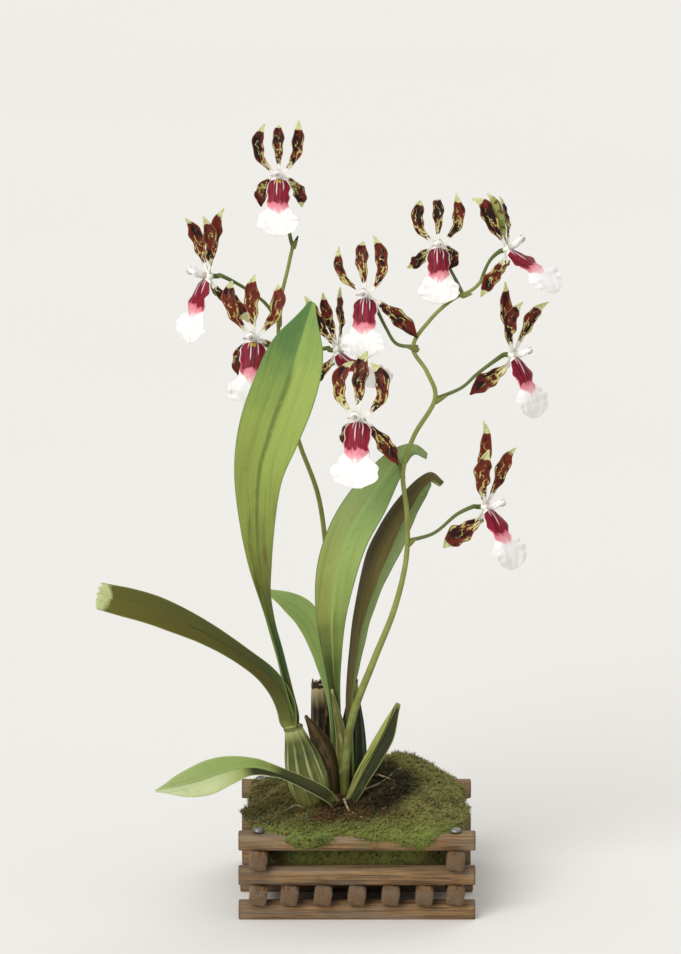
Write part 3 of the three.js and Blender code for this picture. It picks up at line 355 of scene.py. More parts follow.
class Form:
    """The mesh of one piece, gathered in mm.

    Three attributes tell its material where a point of the surface lies. share holds a place across
    from -1 to 1, a place along from 0 to 1 and a kind. flow holds both places in mm and the offset
    of the pattern. tint holds up to three choices of colour.
    """

    ATTRIBUTES = ("share", "flow", "tint")

    def __init__(self, name: str) -> None:
        """Start an empty mesh."""
        self.name = name
        self.points: list[Array] = []
        self.faces: list[list[int]] = []
        self.values: dict[str, list[Array]] = {key: [] for key in self.ATTRIBUTES}
        self.count = 0

    def add(self, points: Array, faces: Array, **values: Array | Sequence[float]) -> None:
        """Add a closed surface.

        Args:
            points: Its points in mm.
            faces: Rows of the points' numbers, all of one length.
            **values: Any of the attributes, for each point or for all.
        """
        flat = np.reshape(points, (-1, 3))
        self.points.append(flat)
        for row in np.asarray(faces) + self.count:
            self.faces.append([int(v) for v in row if v >= self.count])
        for key in self.ATTRIBUTES:
            value = np.asarray(values.get(key, (0.0, 0.0, 0.0)), float)
            self.values[key].append(np.broadcast_to(np.reshape(value, (-1, 3)), flat.shape))
        self.count += len(flat)

    def add_sheet(self, top: Array, under: Array, share: Array, flow: Array, tint: Sequence) -> None:
        """Add a closed sheet between two grids, with a rounded rim.

        Args:
            top: Points of the upper face, as rows along and columns across.
            under: The same points of the lower face.
            share: Places across and along, for each point of a face.
            flow: The same places in mm, with the offset of the pattern.
            tint: The sheet's choices of colour.
        """
        rows, columns = top.shape[0] - 1, top.shape[1] - 1
        numbers = np.arange((rows + 1) * (columns + 1)).reshape(rows + 1, columns + 1)
        a, b = numbers[:-1, :-1], numbers[:-1, 1:]
        c, d = numbers[1:, 1:], numbers[1:, :-1]
        upper = np.stack([a, b, c, d], axis=-1).reshape(-1, 4)
        lower = upper[:, ::-1] + numbers.size
        round_edge = [(0, i) for i in range(columns)] + [(j, columns) for j in range(rows)]
        round_edge += [(rows, i) for i in range(columns, 0, -1)]
        round_edge += [(j, 0) for j in range(rows, 0, -1)]
        j, i = np.array(round_edge).T
        inner = (np.clip(j, 1, rows - 1), np.clip(i, 1, columns - 1))
        middle = (top + under) / 2
        half = np.linalg.norm(top - under, axis=-1)[j, i][:, None] / 2
        rim = middle[j, i] + unit(middle[j, i] - middle[inner]) * half
        first = 2 * numbers.size + np.arange(len(j))
        after = np.roll(first, -1)
        edge, next_edge = numbers[j, i], np.roll(numbers[j, i], -1)
        walls = [
            np.stack([edge + numbers.size, next_edge + numbers.size, after, first], axis=-1),
            np.stack([first, after, next_edge, edge], axis=-1),
        ]
        faced = [np.concatenate([share, np.full(share.shape[:-1] + (1,), k)], -1) for k in (1.0, -1.0)]
        shares = np.concatenate([*(f.reshape(-1, 3) for f in faced), faced[0][j, i]])
        flows = np.concatenate([flow.reshape(-1, 3), flow.reshape(-1, 3), flow[j, i]])
        points = np.concatenate([top.reshape(-1, 3), under.reshape(-1, 3), rim])
        self.add(points, np.concatenate([upper, lower, *walls]), share=shares, flow=flows, tint=tint)

    def add_tube(
        self,
        frames: Frames,
        wide: Array,
        deep: Array,
        kind: float = 0.0,
        seed: float = 0.0,
        tint: Sequence[float] = (0.0, 0.0, 0.0),
    ) -> None:
        """Add a closed tube with its own section at each place along it.

        Args:
            frames: The places along its middle, one for each ring.
            wide: Half widths to the side in mm, as rings by sides.
            deep: Half widths to the face in mm, as rings by sides.
            kind: The kind, which its share attribute keeps.
            seed: The offset of its pattern.
            tint: Its choices of colour.
        """
        rings, sides = wide.shape
        angle = turns(sides)
        ring = frames.point[:, None] + frames.side[:, None] * (wide * np.cos(angle))[..., None]
        ring = ring + frames.face[:, None] * (deep * np.sin(angle))[..., None]
        points = np.concatenate([ring.reshape(-1, 3), frames.point[:1], frames.point[-1:]])
        along = np.linspace(0, 1, rings)[:, None] + np.zeros(sides)
        reach = np.concatenate([[0.0], np.cumsum(np.linalg.norm(np.diff(frames.point, axis=0), axis=1))])
        share = np.stack([np.cos(angle) + 0 * along, along, 0 * along + kind], axis=-1).reshape(-1, 3)
        girth = np.mean((wide + deep) / 2, axis=1)[:, None] * (angle - math.pi)
        flow = np.stack([girth, reach[:, None] + 0 * along, 0 * along + seed], axis=-1).reshape(-1, 3)
        share = np.vstack([share, [0, 0, kind], [0, 1, kind]])
        flow = np.vstack([flow, [0, 0, seed], [0, reach[-1], seed]])
        if np.ndim(tint) > 1:
            tint = np.vstack([np.reshape(tint, (-1, 3)), tint[0][0], tint[-1][0]])
        self.add(points, closed_walls(rings, sides), share=share, flow=flow, tint=tint)

    def made(self, material: Material | None = None) -> Object:
        """Make the piece's object at the origin, in metres, with smooth shading."""
        mesh = bpy.data.meshes.new(self.name)
        mesh.from_pydata((np.concatenate(self.points) * MM).tolist(), [], self.faces)
        for key, parts in self.values.items():
            attribute = mesh.attributes.new(key, "FLOAT_VECTOR", "POINT")
            attribute.data.foreach_set("vector", np.concatenate(parts).astype(np.float32).ravel())
        mesh.polygons.foreach_set("use_smooth", np.ones(len(mesh.polygons), bool))
        if material:
            mesh.materials.append(material)
        mesh.update()
        return link(bpy.data.objects.new(self.name, mesh))


LEAST_HALF_WIDTH = 0.5
EDGE_PHASE = 2.0


@dataclass(frozen=True)
class Blade:
    """A leaf, sheath, petal or lip along a spine. Its lists are spread along its length.

    widths are half widths in mm, folds raise each half in degrees, cups raise the edges as a share of
    the half width, and wave is the height of the waved edges in mm. frill is a finer wave of the
    edges, which starts at a share of the length, scallop a share by which the outline swells and
    narrows, keel the height of a midrib under the blade and torn the raggedness of its far end, all
    in mm but scallop. round_foot is the share of the length over which the foot is rounded.
    """

    widths: Sequence[float]
    thickness: float
    folds: Sequence[float] = (0, 0)
    cups: Sequence[float] = (0, 0)
    wave: float = 0.0
    waves: float = 3.0
    crease: float = 0.12
    frill: float = 0.0
    frills: float = 7.0
    scallop: float = 0.0
    scallops: float = 3.5
    keel: float = 0.0
    torn: float = 0.0
    thin_edge: float = 0.55
    round_foot: float = 0.0
    frill_from: float = 0.0
    seed: float = 0.0
    tint: Sequence[float] = (0.0, 0.0, 0.0)
    relief: Callable[[Array, Array], Array] | None = None

    def add_to(self, form: Form, spine: RouteSpine | HeadingSpine, columns: int, rows: int) -> None:
        """Add the blade to a mesh.

        Args:
            form: The mesh.
            spine: The blade's spine.
            columns: Faces across.
            rows: Faces along.
        """
        s = np.linspace(0, 1, rows + 1)[:, None]
        across = np.linspace(-1, 1, columns + 1)[None, :]
        out = np.abs(across)
        right = across > 0
        frames = spine(s[:, 0])
        middle_bow = np.sin(math.pi * s)
        turn = self.seed * 2.4
        lobes = np.sin(TAU * self.scallops * s + turn + np.where(right, 0, 2.6))
        width = np.maximum(spread(self.widths, s), LEAST_HALF_WIDTH)
        width = width * (1 + self.scallop * lobes * middle_bow)
        if self.round_foot:
            width = width * np.sqrt(np.clip(1 - (1 - s / self.round_foot).clip(0) ** 2, 0.02, 1))
        fold = np.radians(spread(self.folds, s))
        crease = self.crease
        soft = (np.sqrt(across**2 + crease**2) - crease) / (math.sqrt(1 + crease**2) - crease)
        ripple = self.wave * np.sin(TAU * self.waves * s + np.where(right, 0, EDGE_PHASE))
        fine = self.frill * np.sin(TAU * self.frills * s + turn + np.where(right, 1, 3)) * out
        ripple = ripple + fine * np.clip((s - self.frill_from) / 0.1, 0, 1)
        rise = width * (soft * np.sin(fold) + spread(self.cups, s) * out**2)
        rise = rise + ripple * middle_bow * out**2
        if self.relief:
            rise = rise + self.relief(across, s)
        jag = self.torn * np.sin(across * 9 + self.seed) * np.cos(across * 23) * (s > 1 - 0.5 / rows)
        middle = frames.point[:, None] + frames.side[:, None] * (width * across * np.cos(fold))[..., None]
        middle = middle + frames.face[:, None] * rise[..., None] + frames.along[:, None] * jag[..., None]
        normal = unit(np.cross(np.gradient(middle, axis=1), np.gradient(middle, axis=0)))
        half = self.thickness / 2 * (1 - self.thin_edge * out**4) + 0 * s
        ridge = self.keel * bell(across, 0, 0.12) * np.minimum(1, 1.6 * (1 - s))
        share = np.stack(np.broadcast_arrays(across + 0 * s, s + 0 * across), axis=-1)
        flow = np.stack([width * across, spine.length * s + 0 * across, self.seed + 0 * rise], axis=-1)
        top, under = middle + normal * half[..., None], middle - normal * (half + ridge)[..., None]
        form.add_sheet(top, under, share, flow, self.tint)


# Trees of nodes


class Recipe:
    """A Geometry Nodes tree with named knobs, which turns a guide mesh into a piece."""

    def __init__(self, name: str) -> None:
        """Start a tree that takes a geometry and a material."""
        self.tree = bpy.data.node_groups.new(name, "GeometryNodeTree")
        self.tree.interface.new_socket("Geometry", in_out="INPUT", socket_type="NodeSocketGeometry")
        self.tree.interface.new_socket("Geometry", in_out="OUTPUT", socket_type="NodeSocketGeometry")
        self.entry = self.tree.nodes.new("NodeGroupInput")
        self.material = self.knob("Material", "NodeSocketMaterial")

    def knob(self, label: str, kind: str, value: float | None = None) -> Socket:
        """Add a named input.

        Args:
            label: The input's name.
            kind: Its socket type.
            value: Its value when nothing sets it.

        Returns:
            The socket that gives it inside the tree.
        """
        made = self.tree.interface.new_socket(label, in_out="INPUT", socket_type=kind)
        if value is not None:
            made.default_value = value
        return self.entry.outputs[label]

    def geometry(self) -> Socket:
        """Return the geometry that the tree is given."""
        return self.entry.outputs["Geometry"]

    def node(self, kind: str, inputs: dict | None = None, **settings: object) -> bpy.types.Node:
        """Add a node.

        Args:
            kind: Its type, without the GeometryNode in front where it has that.
            inputs: What goes into its sockets, by name or number: a socket or a value.
            **settings: Properties of the node.

        Returns:
            The node.
        """
        full = kind if kind.startswith(("FunctionNode", "ShaderNode")) else "GeometryNode" + kind
        node = self.tree.nodes.new(full)
        for key, value in settings.items():
            setattr(node, key, value)
        for key, value in (inputs or {}).items():
            if isinstance(value, Socket):
                self.tree.links.new(value, node.inputs[key])
            else:
                node.inputs[key].default_value = value
        return node

    def named(self, name: str, kind: str = "FLOAT") -> Socket:
        """Return the values of a named attribute."""
        return self.node("InputNamedAttribute", {"Name": name}, data_type=kind).outputs[0]

    def random(self, low: float, high: float, seed: int) -> Socket:
        """Return a random number between two for each element, from a fixed seed."""
        node = self.tree.nodes.new("FunctionNodeRandomValue")
        node.inputs[2].default_value, node.inputs[3].default_value = low, high
        node.inputs[8].default_value = seed
        return node.outputs[1]

    def end(self, geometry: Socket) -> None:
        """Realize the instances, set the material and end the tree."""
        real = self.node("RealizeInstances", {0: geometry})
        dressed = self.node("SetMaterial", {0: real.outputs[0], "Material": self.material})
        out = self.tree.nodes.new("NodeGroupOutput")
        self.tree.links.new(dressed.outputs[0], out.inputs[0])

    def serve(self, guide: Object, name: str, **knobs: object) -> Object:
        """Turn a guide object into a piece.

        Args:
            guide: The object with the guide mesh, which is removed.
            name: The piece's name.
            **knobs: Values of the knobs, with underscores for the spaces of their names.

        Returns:
            The piece, a plain mesh.
        """
        modifier = guide.modifiers.new("recipe", "NODES")
        modifier.node_group = self.tree
        for item in self.tree.interface.items_tree:
            key = item.name.replace(" ", "_").lower()
            if item.item_type == "SOCKET" and item.in_out == "INPUT" and key in knobs:
                modifier[item.identifier] = knobs[key]
        graph = bpy.context.evaluated_depsgraph_get()
        mesh = bpy.data.meshes.new_from_object(
            guide.evaluated_get(graph), preserve_all_data_layers=True, depsgraph=graph
        )
        mesh.name = name
        guide.modifiers.clear()
        bpy.data.objects.remove(guide)
        return link(bpy.data.objects.new(name, mesh))


def guide_mesh(name: str, points: Array, edges: Sequence = (), **values: Array) -> Object:
    """Make a guide of points and edges for a recipe.

    Args:
        name: The guide's name.
        points: Its points in mm.
        edges: Pairs of the points' numbers.
        **values: Attributes, as a number or a vector for each point.

    Returns:
        The guide's object.
    """
    mesh = bpy.data.meshes.new(name)
    mesh.from_pydata((np.asarray(points) * MM).tolist(), [tuple(map(int, e)) for e in edges], [])
    for key, value in values.items():
        listed = np.asarray(value, np.float32)
        kind, prop = ("FLOAT", "value") if listed.ndim == 1 else ("FLOAT_VECTOR", "vector")
        mesh.attributes.new(key, kind, "POINT").data.foreach_set(prop, listed.ravel())
    return link(bpy.data.objects.new(name, mesh))


class Strands:
    """Round strands of changing thickness along routes: stems, stalks, bracts and roots."""

    STEP = 0.8  # mm between two rings
    KNOT_RISE, KNOT_REACH = 0.35, 1.6  # mm
    SEED_STEP = 0.37  # from one ring's number to the next

    def __init__(self) -> None:
        """Start with no strands."""
        self.points: list[Array] = []
        self.edges: list[Array] = []
        self.thickness: list[Array] = []
        self.share: list[Array] = []
        self.flow: list[Array] = []
        self.count = 0

    def add(self, spine: RouteSpine, radii: Sequence[float], kind: float = 0.0, knots: Sequence = ()) -> None:
        """Add a strand.

        Args:
            spine: The middle of the strand.
            radii: Its radius in mm, spread along it.
            kind: The kind, which its share attribute keeps.
            knots: Shares of its length where it is thicker.
        """
        steps = max(4, round(spine.length / self.STEP))
        s = np.linspace(0, 1, steps + 1)
        point = spine(s).point
        knob = sum((bell(s, knot, self.KNOT_REACH / spine.length) for knot in knots), np.zeros(len(s)))
        numbers = np.arange(steps) + self.count
        self.points.append(point)
        self.edges.append(np.stack([numbers, numbers + 1], axis=-1))
        self.thickness.append((spread(radii, s) + self.KNOT_RISE * knob) * MM)
        self.share.append(np.stack([knob, s, 0 * s + kind], axis=-1))
        seed = self.count * self.SEED_STEP
        self.flow.append(np.stack([0 * s, s * spine.length, 0 * s + seed], axis=-1))
        self.count += steps + 1

    def recipe(self) -> Recipe:
        """Return the tree that wraps a tube round each line of edges."""
        recipe = Recipe("strands")
        sides = recipe.knob("Sides", "NodeSocketInt", 12)
        curve = recipe.node("MeshToCurve", {0: recipe.geometry()})
        circle = recipe.node("CurvePrimitiveCircle", {"Resolution": sides, "Radius": 1.0})
        profile = {0: curve.outputs[0], 1: circle.outputs[0], "Scale": recipe.named("thickness")}
        tube = recipe.node("CurveToMesh", {**profile, "Fill Caps": True})
        recipe.end(recipe.node("SetShadeSmooth", {0: tube.outputs[0]}).outputs[0])
        return recipe

    def made(self, name: str, material: Material, sides: int = 12) -> Object:
        """Make the piece of all its strands."""
        guide = guide_mesh(
            name + "_lines",
            np.concatenate(self.points),
            np.concatenate(self.edges),
            thickness=np.concatenate(self.thickness),
            share=np.concatenate(self.share),
            flow=np.concatenate(self.flow),
        )
        return self.recipe().serve(guide, name, sides=sides, material=material)


def linear(colour: str) -> tuple[float, float, float, float]:
    """Return the linear colour of a hex code such as #a0b0c0."""
    parts = [int(colour[i : i + 2], 16) / 255 for i in (1, 3, 5)]
    light = [p / 12.92 if p <= 0.04045 else ((p + 0.055) / 1.055) ** 2.4 for p in parts]
    return (*light, 1.0)


class Paint:
    """A material on the way, painted with nodes."""

    def __init__(self, name: str) -> None:
        """Start a material with a bare shader."""
        self.material = bpy.data.materials.new(name)
        self.material.use_nodes = True
        self.tree = self.material.node_tree
        self.tree.nodes.clear()
        self.shader = self.tree.nodes.new("ShaderNodeBsdfPrincipled")
        out = self.tree.nodes.new("ShaderNodeOutputMaterial")
        self.tree.links.new(self.shader.outputs[0], out.inputs[0])

    def feed(self, socket: Socket, value: object) -> None:
        """Link a socket to another, or set its value. A colour may be a hex code."""
        if isinstance(value, Socket):
            self.tree.links.new(value, socket)
        elif isinstance(value, str):
            socket.default_value = linear(value)
        else:
            socket.default_value = value

    def node(self, kind: str, inputs: dict | None = None, **settings: object) -> bpy.types.Node:
        """Add a shader node with its inputs, by name or number, and its settings."""
        node = self.tree.nodes.new("ShaderNode" + kind)
        for key, value in settings.items():
            setattr(node, key, value)
        for key, value in (inputs or {}).items():
            self.feed(node.inputs[key], value)
        return node

    def math(self, operation: str, a: object, b: object = 0.0) -> Socket:
        """Return the result of a sum on one or two numbers."""
        return self.node("Math", {0: a, 1: b}, operation=operation).outputs[0]

    def add(self, a: object, b: object) -> Socket:
        """Return a sum."""
        return self.math("ADD", a, b)

    def sub(self, a: object, b: object) -> Socket:
        """Return a difference."""
        return self.math("SUBTRACT", a, b)

    def mul(self, a: object, b: object) -> Socket:
        """Return a product."""
        return self.math("MULTIPLY", a, b)

    def abs(self, a: object) -> Socket:
        """Return a number without its sign."""
        return self.math("ABSOLUTE", a)

    def shaken(self, value: object, noise: Socket, amount: float) -> Socket:
        """Return a value moved to and fro by noise."""
        return self.add(value, self.mul(self.sub(noise, 0.5), amount))

    def distance(self, x: Socket, y: Socket, place: tuple[float, float]) -> Socket:
        """Return the level distance in mm from a place."""
        ends = {0: self.join(x, y, 0.0), 1: (*place, 0.0)}
        return self.node("VectorMath", ends, operation="DISTANCE").outputs[1]

    def value(self, name: str) -> Socket:
        """Return the number of a named attribute."""
        return self.node("Attribute", attribute_name=name).outputs["Fac"]

    def place(self) -> Socket:
        """Return the point of the surface in mm."""
        read = self.node("TexCoord").outputs["Object"]
        return self.node("VectorMath", {0: read, "Scale": 1 / MM}, operation="SCALE").outputs[0]

    def named(self, name: str) -> Socket:
        """Return the vector of a named attribute."""
        return self.node("Attribute", attribute_name=name).outputs["Vector"]

    def split(self, vector: Socket) -> tuple[Socket, Socket, Socket]:
        """Return the three parts of a vector."""
        return tuple(self.node("SeparateXYZ", {0: vector}).outputs)

    def join(self, x: object, y: object, z: object) -> Socket:
        """Return the vector of three parts."""
        return self.node("CombineXYZ", {0: x, 1: y, 2: z}).outputs[0]

    def scaled(self, vector: Socket, x: float, y: float, z: float) -> Socket:
        """Return a vector whose parts are multiplied."""
        return self.node("VectorMath", {0: vector, 1: (x, y, z)}, operation="MULTIPLY").outputs[0]

    def noise(self, vector: Socket, size: float, detail: float = 2.0, warp: float = 0.0) -> Socket:
        """Return smooth noise from 0 to 1 whose lumps are about size apart."""
        inputs = {"Vector": vector, "Scale": 1 / size, "Detail": detail, "Distortion": warp}
        return self.node("TexNoise", inputs).outputs[0]

    def cells(self, vector: Socket, size: float) -> Socket:
        """Return the distance to the nearest edge of cells that are about size wide."""
        inputs = {"Vector": vector, "Scale": 1 / size}
        return self.node("TexVoronoi", inputs, feature="DISTANCE_TO_EDGE").outputs[0]

    def band(self, value: object, low: float, high: float, start: float = 0.0, end: float = 1.0) -> Socket:
        """Return a smooth step from start to end where a value goes from low to high."""
        inputs = {0: value, 1: low, 2: high, 3: start, 4: end}
        return self.node("MapRange", inputs, interpolation_type="SMOOTHSTEP").outputs[0]

    def near(self, value: object, middle: float, inner: float, outer: float) -> Socket:
        """Return 1 where a value is within inner of the middle, fading to 0 at outer."""
        away = self.abs(self.sub(value, middle))
        return self.band(away, inner, outer, 1.0, 0.0)

    def all(self, *values: object) -> Socket:
        """Return the product of several masks."""
        result = values[0]
        for value in values[1:]:
            result = self.mul(result, value)
        return result

    def any(self, *values: object) -> Socket:
        """Return the largest of several masks."""
        result = values[0]
        for value in values[1:]:
            result = self.math("MAXIMUM", result, value)
        return result

    def mix(self, share: object, a: object, b: object, way: str = "MIX") -> Socket:
        """Return colour a blended towards colour b by a share."""
        node = self.node("Mix", data_type="RGBA", blend_type=way)
        for number, value in ((0, share), (6, a), (7, b)):
            self.feed(node.inputs[number], value)
        return node.outputs[2]

    def over(self, colour: object, paint: object, *masks: object) -> Socket:
        """Return a colour with another painted over it where all masks let it through."""
        return self.mix(self.all(*masks), colour, paint)

    def ramp(self, share: Socket, stops: Sequence[tuple[float, str]]) -> Socket:
        """Return the colour at a share of a row of stops."""
        node = self.node("ValToRGB", {0: share})
        elements = node.color_ramp.elements
        for i, (place, colour) in enumerate(stops):
            element = elements[i] if i < 2 else elements.new(place)
            element.position, element.color = place, linear(colour)
        return node.outputs[0]

    def bump(self, height: Socket, depth: float, strength: float = 1.0) -> None:
        """Raise the surface by a height from 0 to 1 times a depth in mm."""
        inputs = {"Height": height, "Distance": depth * MM, "Strength": strength}
        normal = self.node("Bump", inputs).outputs[0]
        self.tree.links.new(normal, self.shader.inputs["Normal"])

    def done(self, colour: Socket, roughness: object, **constants: object) -> Material:
        """Finish the material.

        Args:
            colour: Its colour.
            roughness: Its roughness.
            **constants: Other inputs of the shader, with underscores for spaces.

        Returns:
            The material.
        """
        self.feed(self.shader.inputs["Base Color"], colour)
        self.feed(self.shader.inputs["Roughness"], roughness)
        for key, value in constants.items():
            self.shader.inputs[key.replace("_", " ")].default_value = value
        return self.material


# Finishes


@dataclass(frozen=True)
class WoodFinish:
    """Weathered, open-grained hardwood of the basket's slats."""

    dark: str = "#4a3522"
    light: str = "#a88457"
    grey: str = "#958a78"
    algae: str = "#66713a"

    def material(self) -> Material:
        """Paint the wood along the grain of each slat."""
        p = Paint("basket_wood")
        seed = p.value("seed")
        ends = {0: p.named("flow"), 1: p.join(seed, 0.0, seed)}
        grain = p.node("VectorMath", ends, operation="ADD").outputs[0]
        lines = p.noise(p.scaled(grain, 0.03, 0.9, 0.9), 1.0, 4, 0.6)
        pores = p.noise(p.scaled(grain, 0.12, 3.2, 3.2), 1.0, 3)
        wide = p.noise(p.scaled(grain, 0.02, 0.16, 0.16), 1.0, 2)
        colour = p.mix(p.band(lines, 0.3, 0.7), self.dark, self.light)
        colour = p.over(colour, "#33241a", p.band(pores, 0.55, 0.68), 0.6)
        colour = p.over(colour, self.grey, p.band(wide, 0.42, 0.66), 0.55)
        colour = p.over(colour, "#7a5b38", p.math("FRACT", p.mul(seed, 0.713)), 0.35)
        z = p.split(p.place())[2]
        damp = p.noise(p.place(), 11, 3)
        high = p.band(z, 22, 50)
        colour = p.over(colour, self.algae, p.band(damp, 0.5, 0.72), high, 0.6)
        end = p.band(p.abs(p.split(p.named("flow"))[0]), 63.2, 64.8)
        colour = p.over(colour, "#5a432c", end, 0.6)
        p.bump(p.sub(lines, p.mul(pores, 0.8)), 0.5, 0.9)
        return p.done(colour, p.band(lines, 0.2, 0.9, 0.62, 0.84))


@dataclass(frozen=True)
class WireFinish:
    """Dull galvanised wire of the basket's corner pins."""

    light: str = "#9b9c99"
    dark: str = "#6a6b69"

    def material(self) -> Material:
        """Paint the spangled zinc."""
        p = Paint("basket_wire")
        spot = p.place()
        spangle = p.node("TexVoronoi", {"Vector": spot, "Scale": 0.9}).outputs["Color"]
        tone = p.split(spangle)[0]
        rust = p.band(p.noise(spot, 2.2, 4), 0.58, 0.74)
        colour = p.mix(rust, p.mix(tone, self.dark, self.light), "#6e4a2c")
        p.bump(p.noise(spot, 0.8, 3), 0.12)
        return p.done(colour, p.band(tone, 0, 1, 0.36, 0.58), Metallic=0.8)


@dataclass(frozen=True)
class StemFinish:
    """Smooth olive stems, darker at the foot and towards the flowers."""

    name: str = "flower_stem"
    foot: str = "#5c5f2b"
    middle: str = "#858a45"
    end: str = "#5c6a30"
    bud_scar: str = "#17140b"

    def material(self) -> Material:
        """Paint the stem from its foot to its flowers."""
        p = Paint(self.name)
        _, along, kind = p.split(p.named("share"))
        spot = p.place()
        z = p.split(spot)[2]
        mottle = p.noise(spot, 7, 3)
        colour = p.mix(p.band(z, 70, 150), self.foot, self.middle)
        colour = p.over(colour, "#94a055", p.band(mottle, 0.4, 0.7), 0.5)
        colour = p.mix(p.band(kind, 0.5, 1.0), colour, self.end)
        colour = p.mix(p.band(kind, 1.5, 2.0), colour, "#7a7a3c")
        high = p.band(z, SCAR_HEIGHT - 9, SCAR_HEIGHT - 4)
        scar = p.all(p.band(kind, 1.5, 2.0), p.band(along, 0.62, 0.75), high)
        colour = p.mix(scar, colour, self.bud_scar)
        streak = p.noise(p.scaled(spot, 1.6, 1.6, 0.08), 1.0, 2)
        colour = p.over(colour, "#4e5a2a", p.band(streak, 0.5, 0.75), 0.35)
        p.bump(streak, 0.15)
        return p.done(colour, p.band(mottle, 0.2, 0.8, 0.45, 0.6), Specular_IOR_Level=0.3)


@dataclass(frozen=True)
class RootFinish:
    """Corky roots and the creeping stock."""

    name: str = "rhizome"
    pale: str = "#b9a983"
    brown: str = "#6a4d2f"

    def material(self) -> Material:
        """Paint the cork, with rings and dirt."""
        p = Paint(self.name)
        spot = p.place()
        dirt = p.noise(spot, 3.2, 4)
        cracks = p.cells(spot, 1.4)
        colour = p.mix(p.band(dirt, 0.42, 0.62), self.pale, self.brown)
        colour = p.over(colour, "#3e2c1c", p.band(cracks, 0.1, 0.0), 0.5)
        p.bump(p.add(dirt, p.band(cracks, 0.0, 0.2)), 0.35)
        return p.done(colour, 0.82)


@dataclass(frozen=True)
class BulbFinish:
    """The flesh of a pseudobulb, with dark streaks, and ribs with painted light on their pale crests and
    painted shade in the grooves between them.
    """

    name: str
    body: str
    # dark serves the streaks and the patches, and also the painted shade in the grooves between the ribs.
    dark: str
    # rib is the pale colour of the crests, painted light on the ribs.
    rib: str
    tip: str
    husk: float = 0.0  # share of dry brown skin

    def material(self) -> Material:
        """Paint the ribs from their crest attribute."""
        p = Paint(self.name)
        turn, along, _ = p.split(p.named("share"))
        crest = p.split(p.named("tint"))[0]
        spot = p.place()
        streak = p.noise(p.join(p.mul(turn, 46), p.mul(along, 1.6), 0.0), 1.0, 2)
        mottle = p.noise(spot, 9, 3)
        patches = p.all(p.band(mottle, 0.4, 0.62), p.band(along, 0.3, 0.75, 0.2, 0.8))
        colour = p.mix(patches, self.body, self.dark)
        lines = p.all(p.band(streak, 0.44, 0.6), p.band(along, 0.05, 0.6, 0.7, 1.0))
        colour = p.mix(lines, colour, self.dark)
        # Painted shade in the grooves between the ribs, then painted light on their crests.
        groove_shade = p.band(crest, 0.75, 0.45)
        between = p.all(p.band(along, 0.25, 0.65), groove_shade, p.band(streak, 0.3, 0.6, 0.5, 0.9))
        colour = p.mix(between, colour, self.dark)
        colour = p.over(colour, self.rib, p.band(crest, 0.72, 1.0), 0.7)
        colour = p.mix(p.band(along, 0.8, 1.0), colour, self.tip)
        skin = p.band(p.add(p.noise(p.scaled(spot, 1, 1, 0.3), 4, 4), self.husk), 0.7, 0.82)
        colour = p.mix(skin, colour, p.mix(p.band(streak, 0.35, 0.65), "#7b5a33", "#bda274"))
        p.bump(p.add(streak, p.mul(skin, 0.8)), 0.3)
        return p.done(colour, p.band(skin, 0, 1, 0.45, 0.75), Specular_IOR_Level=0.3)


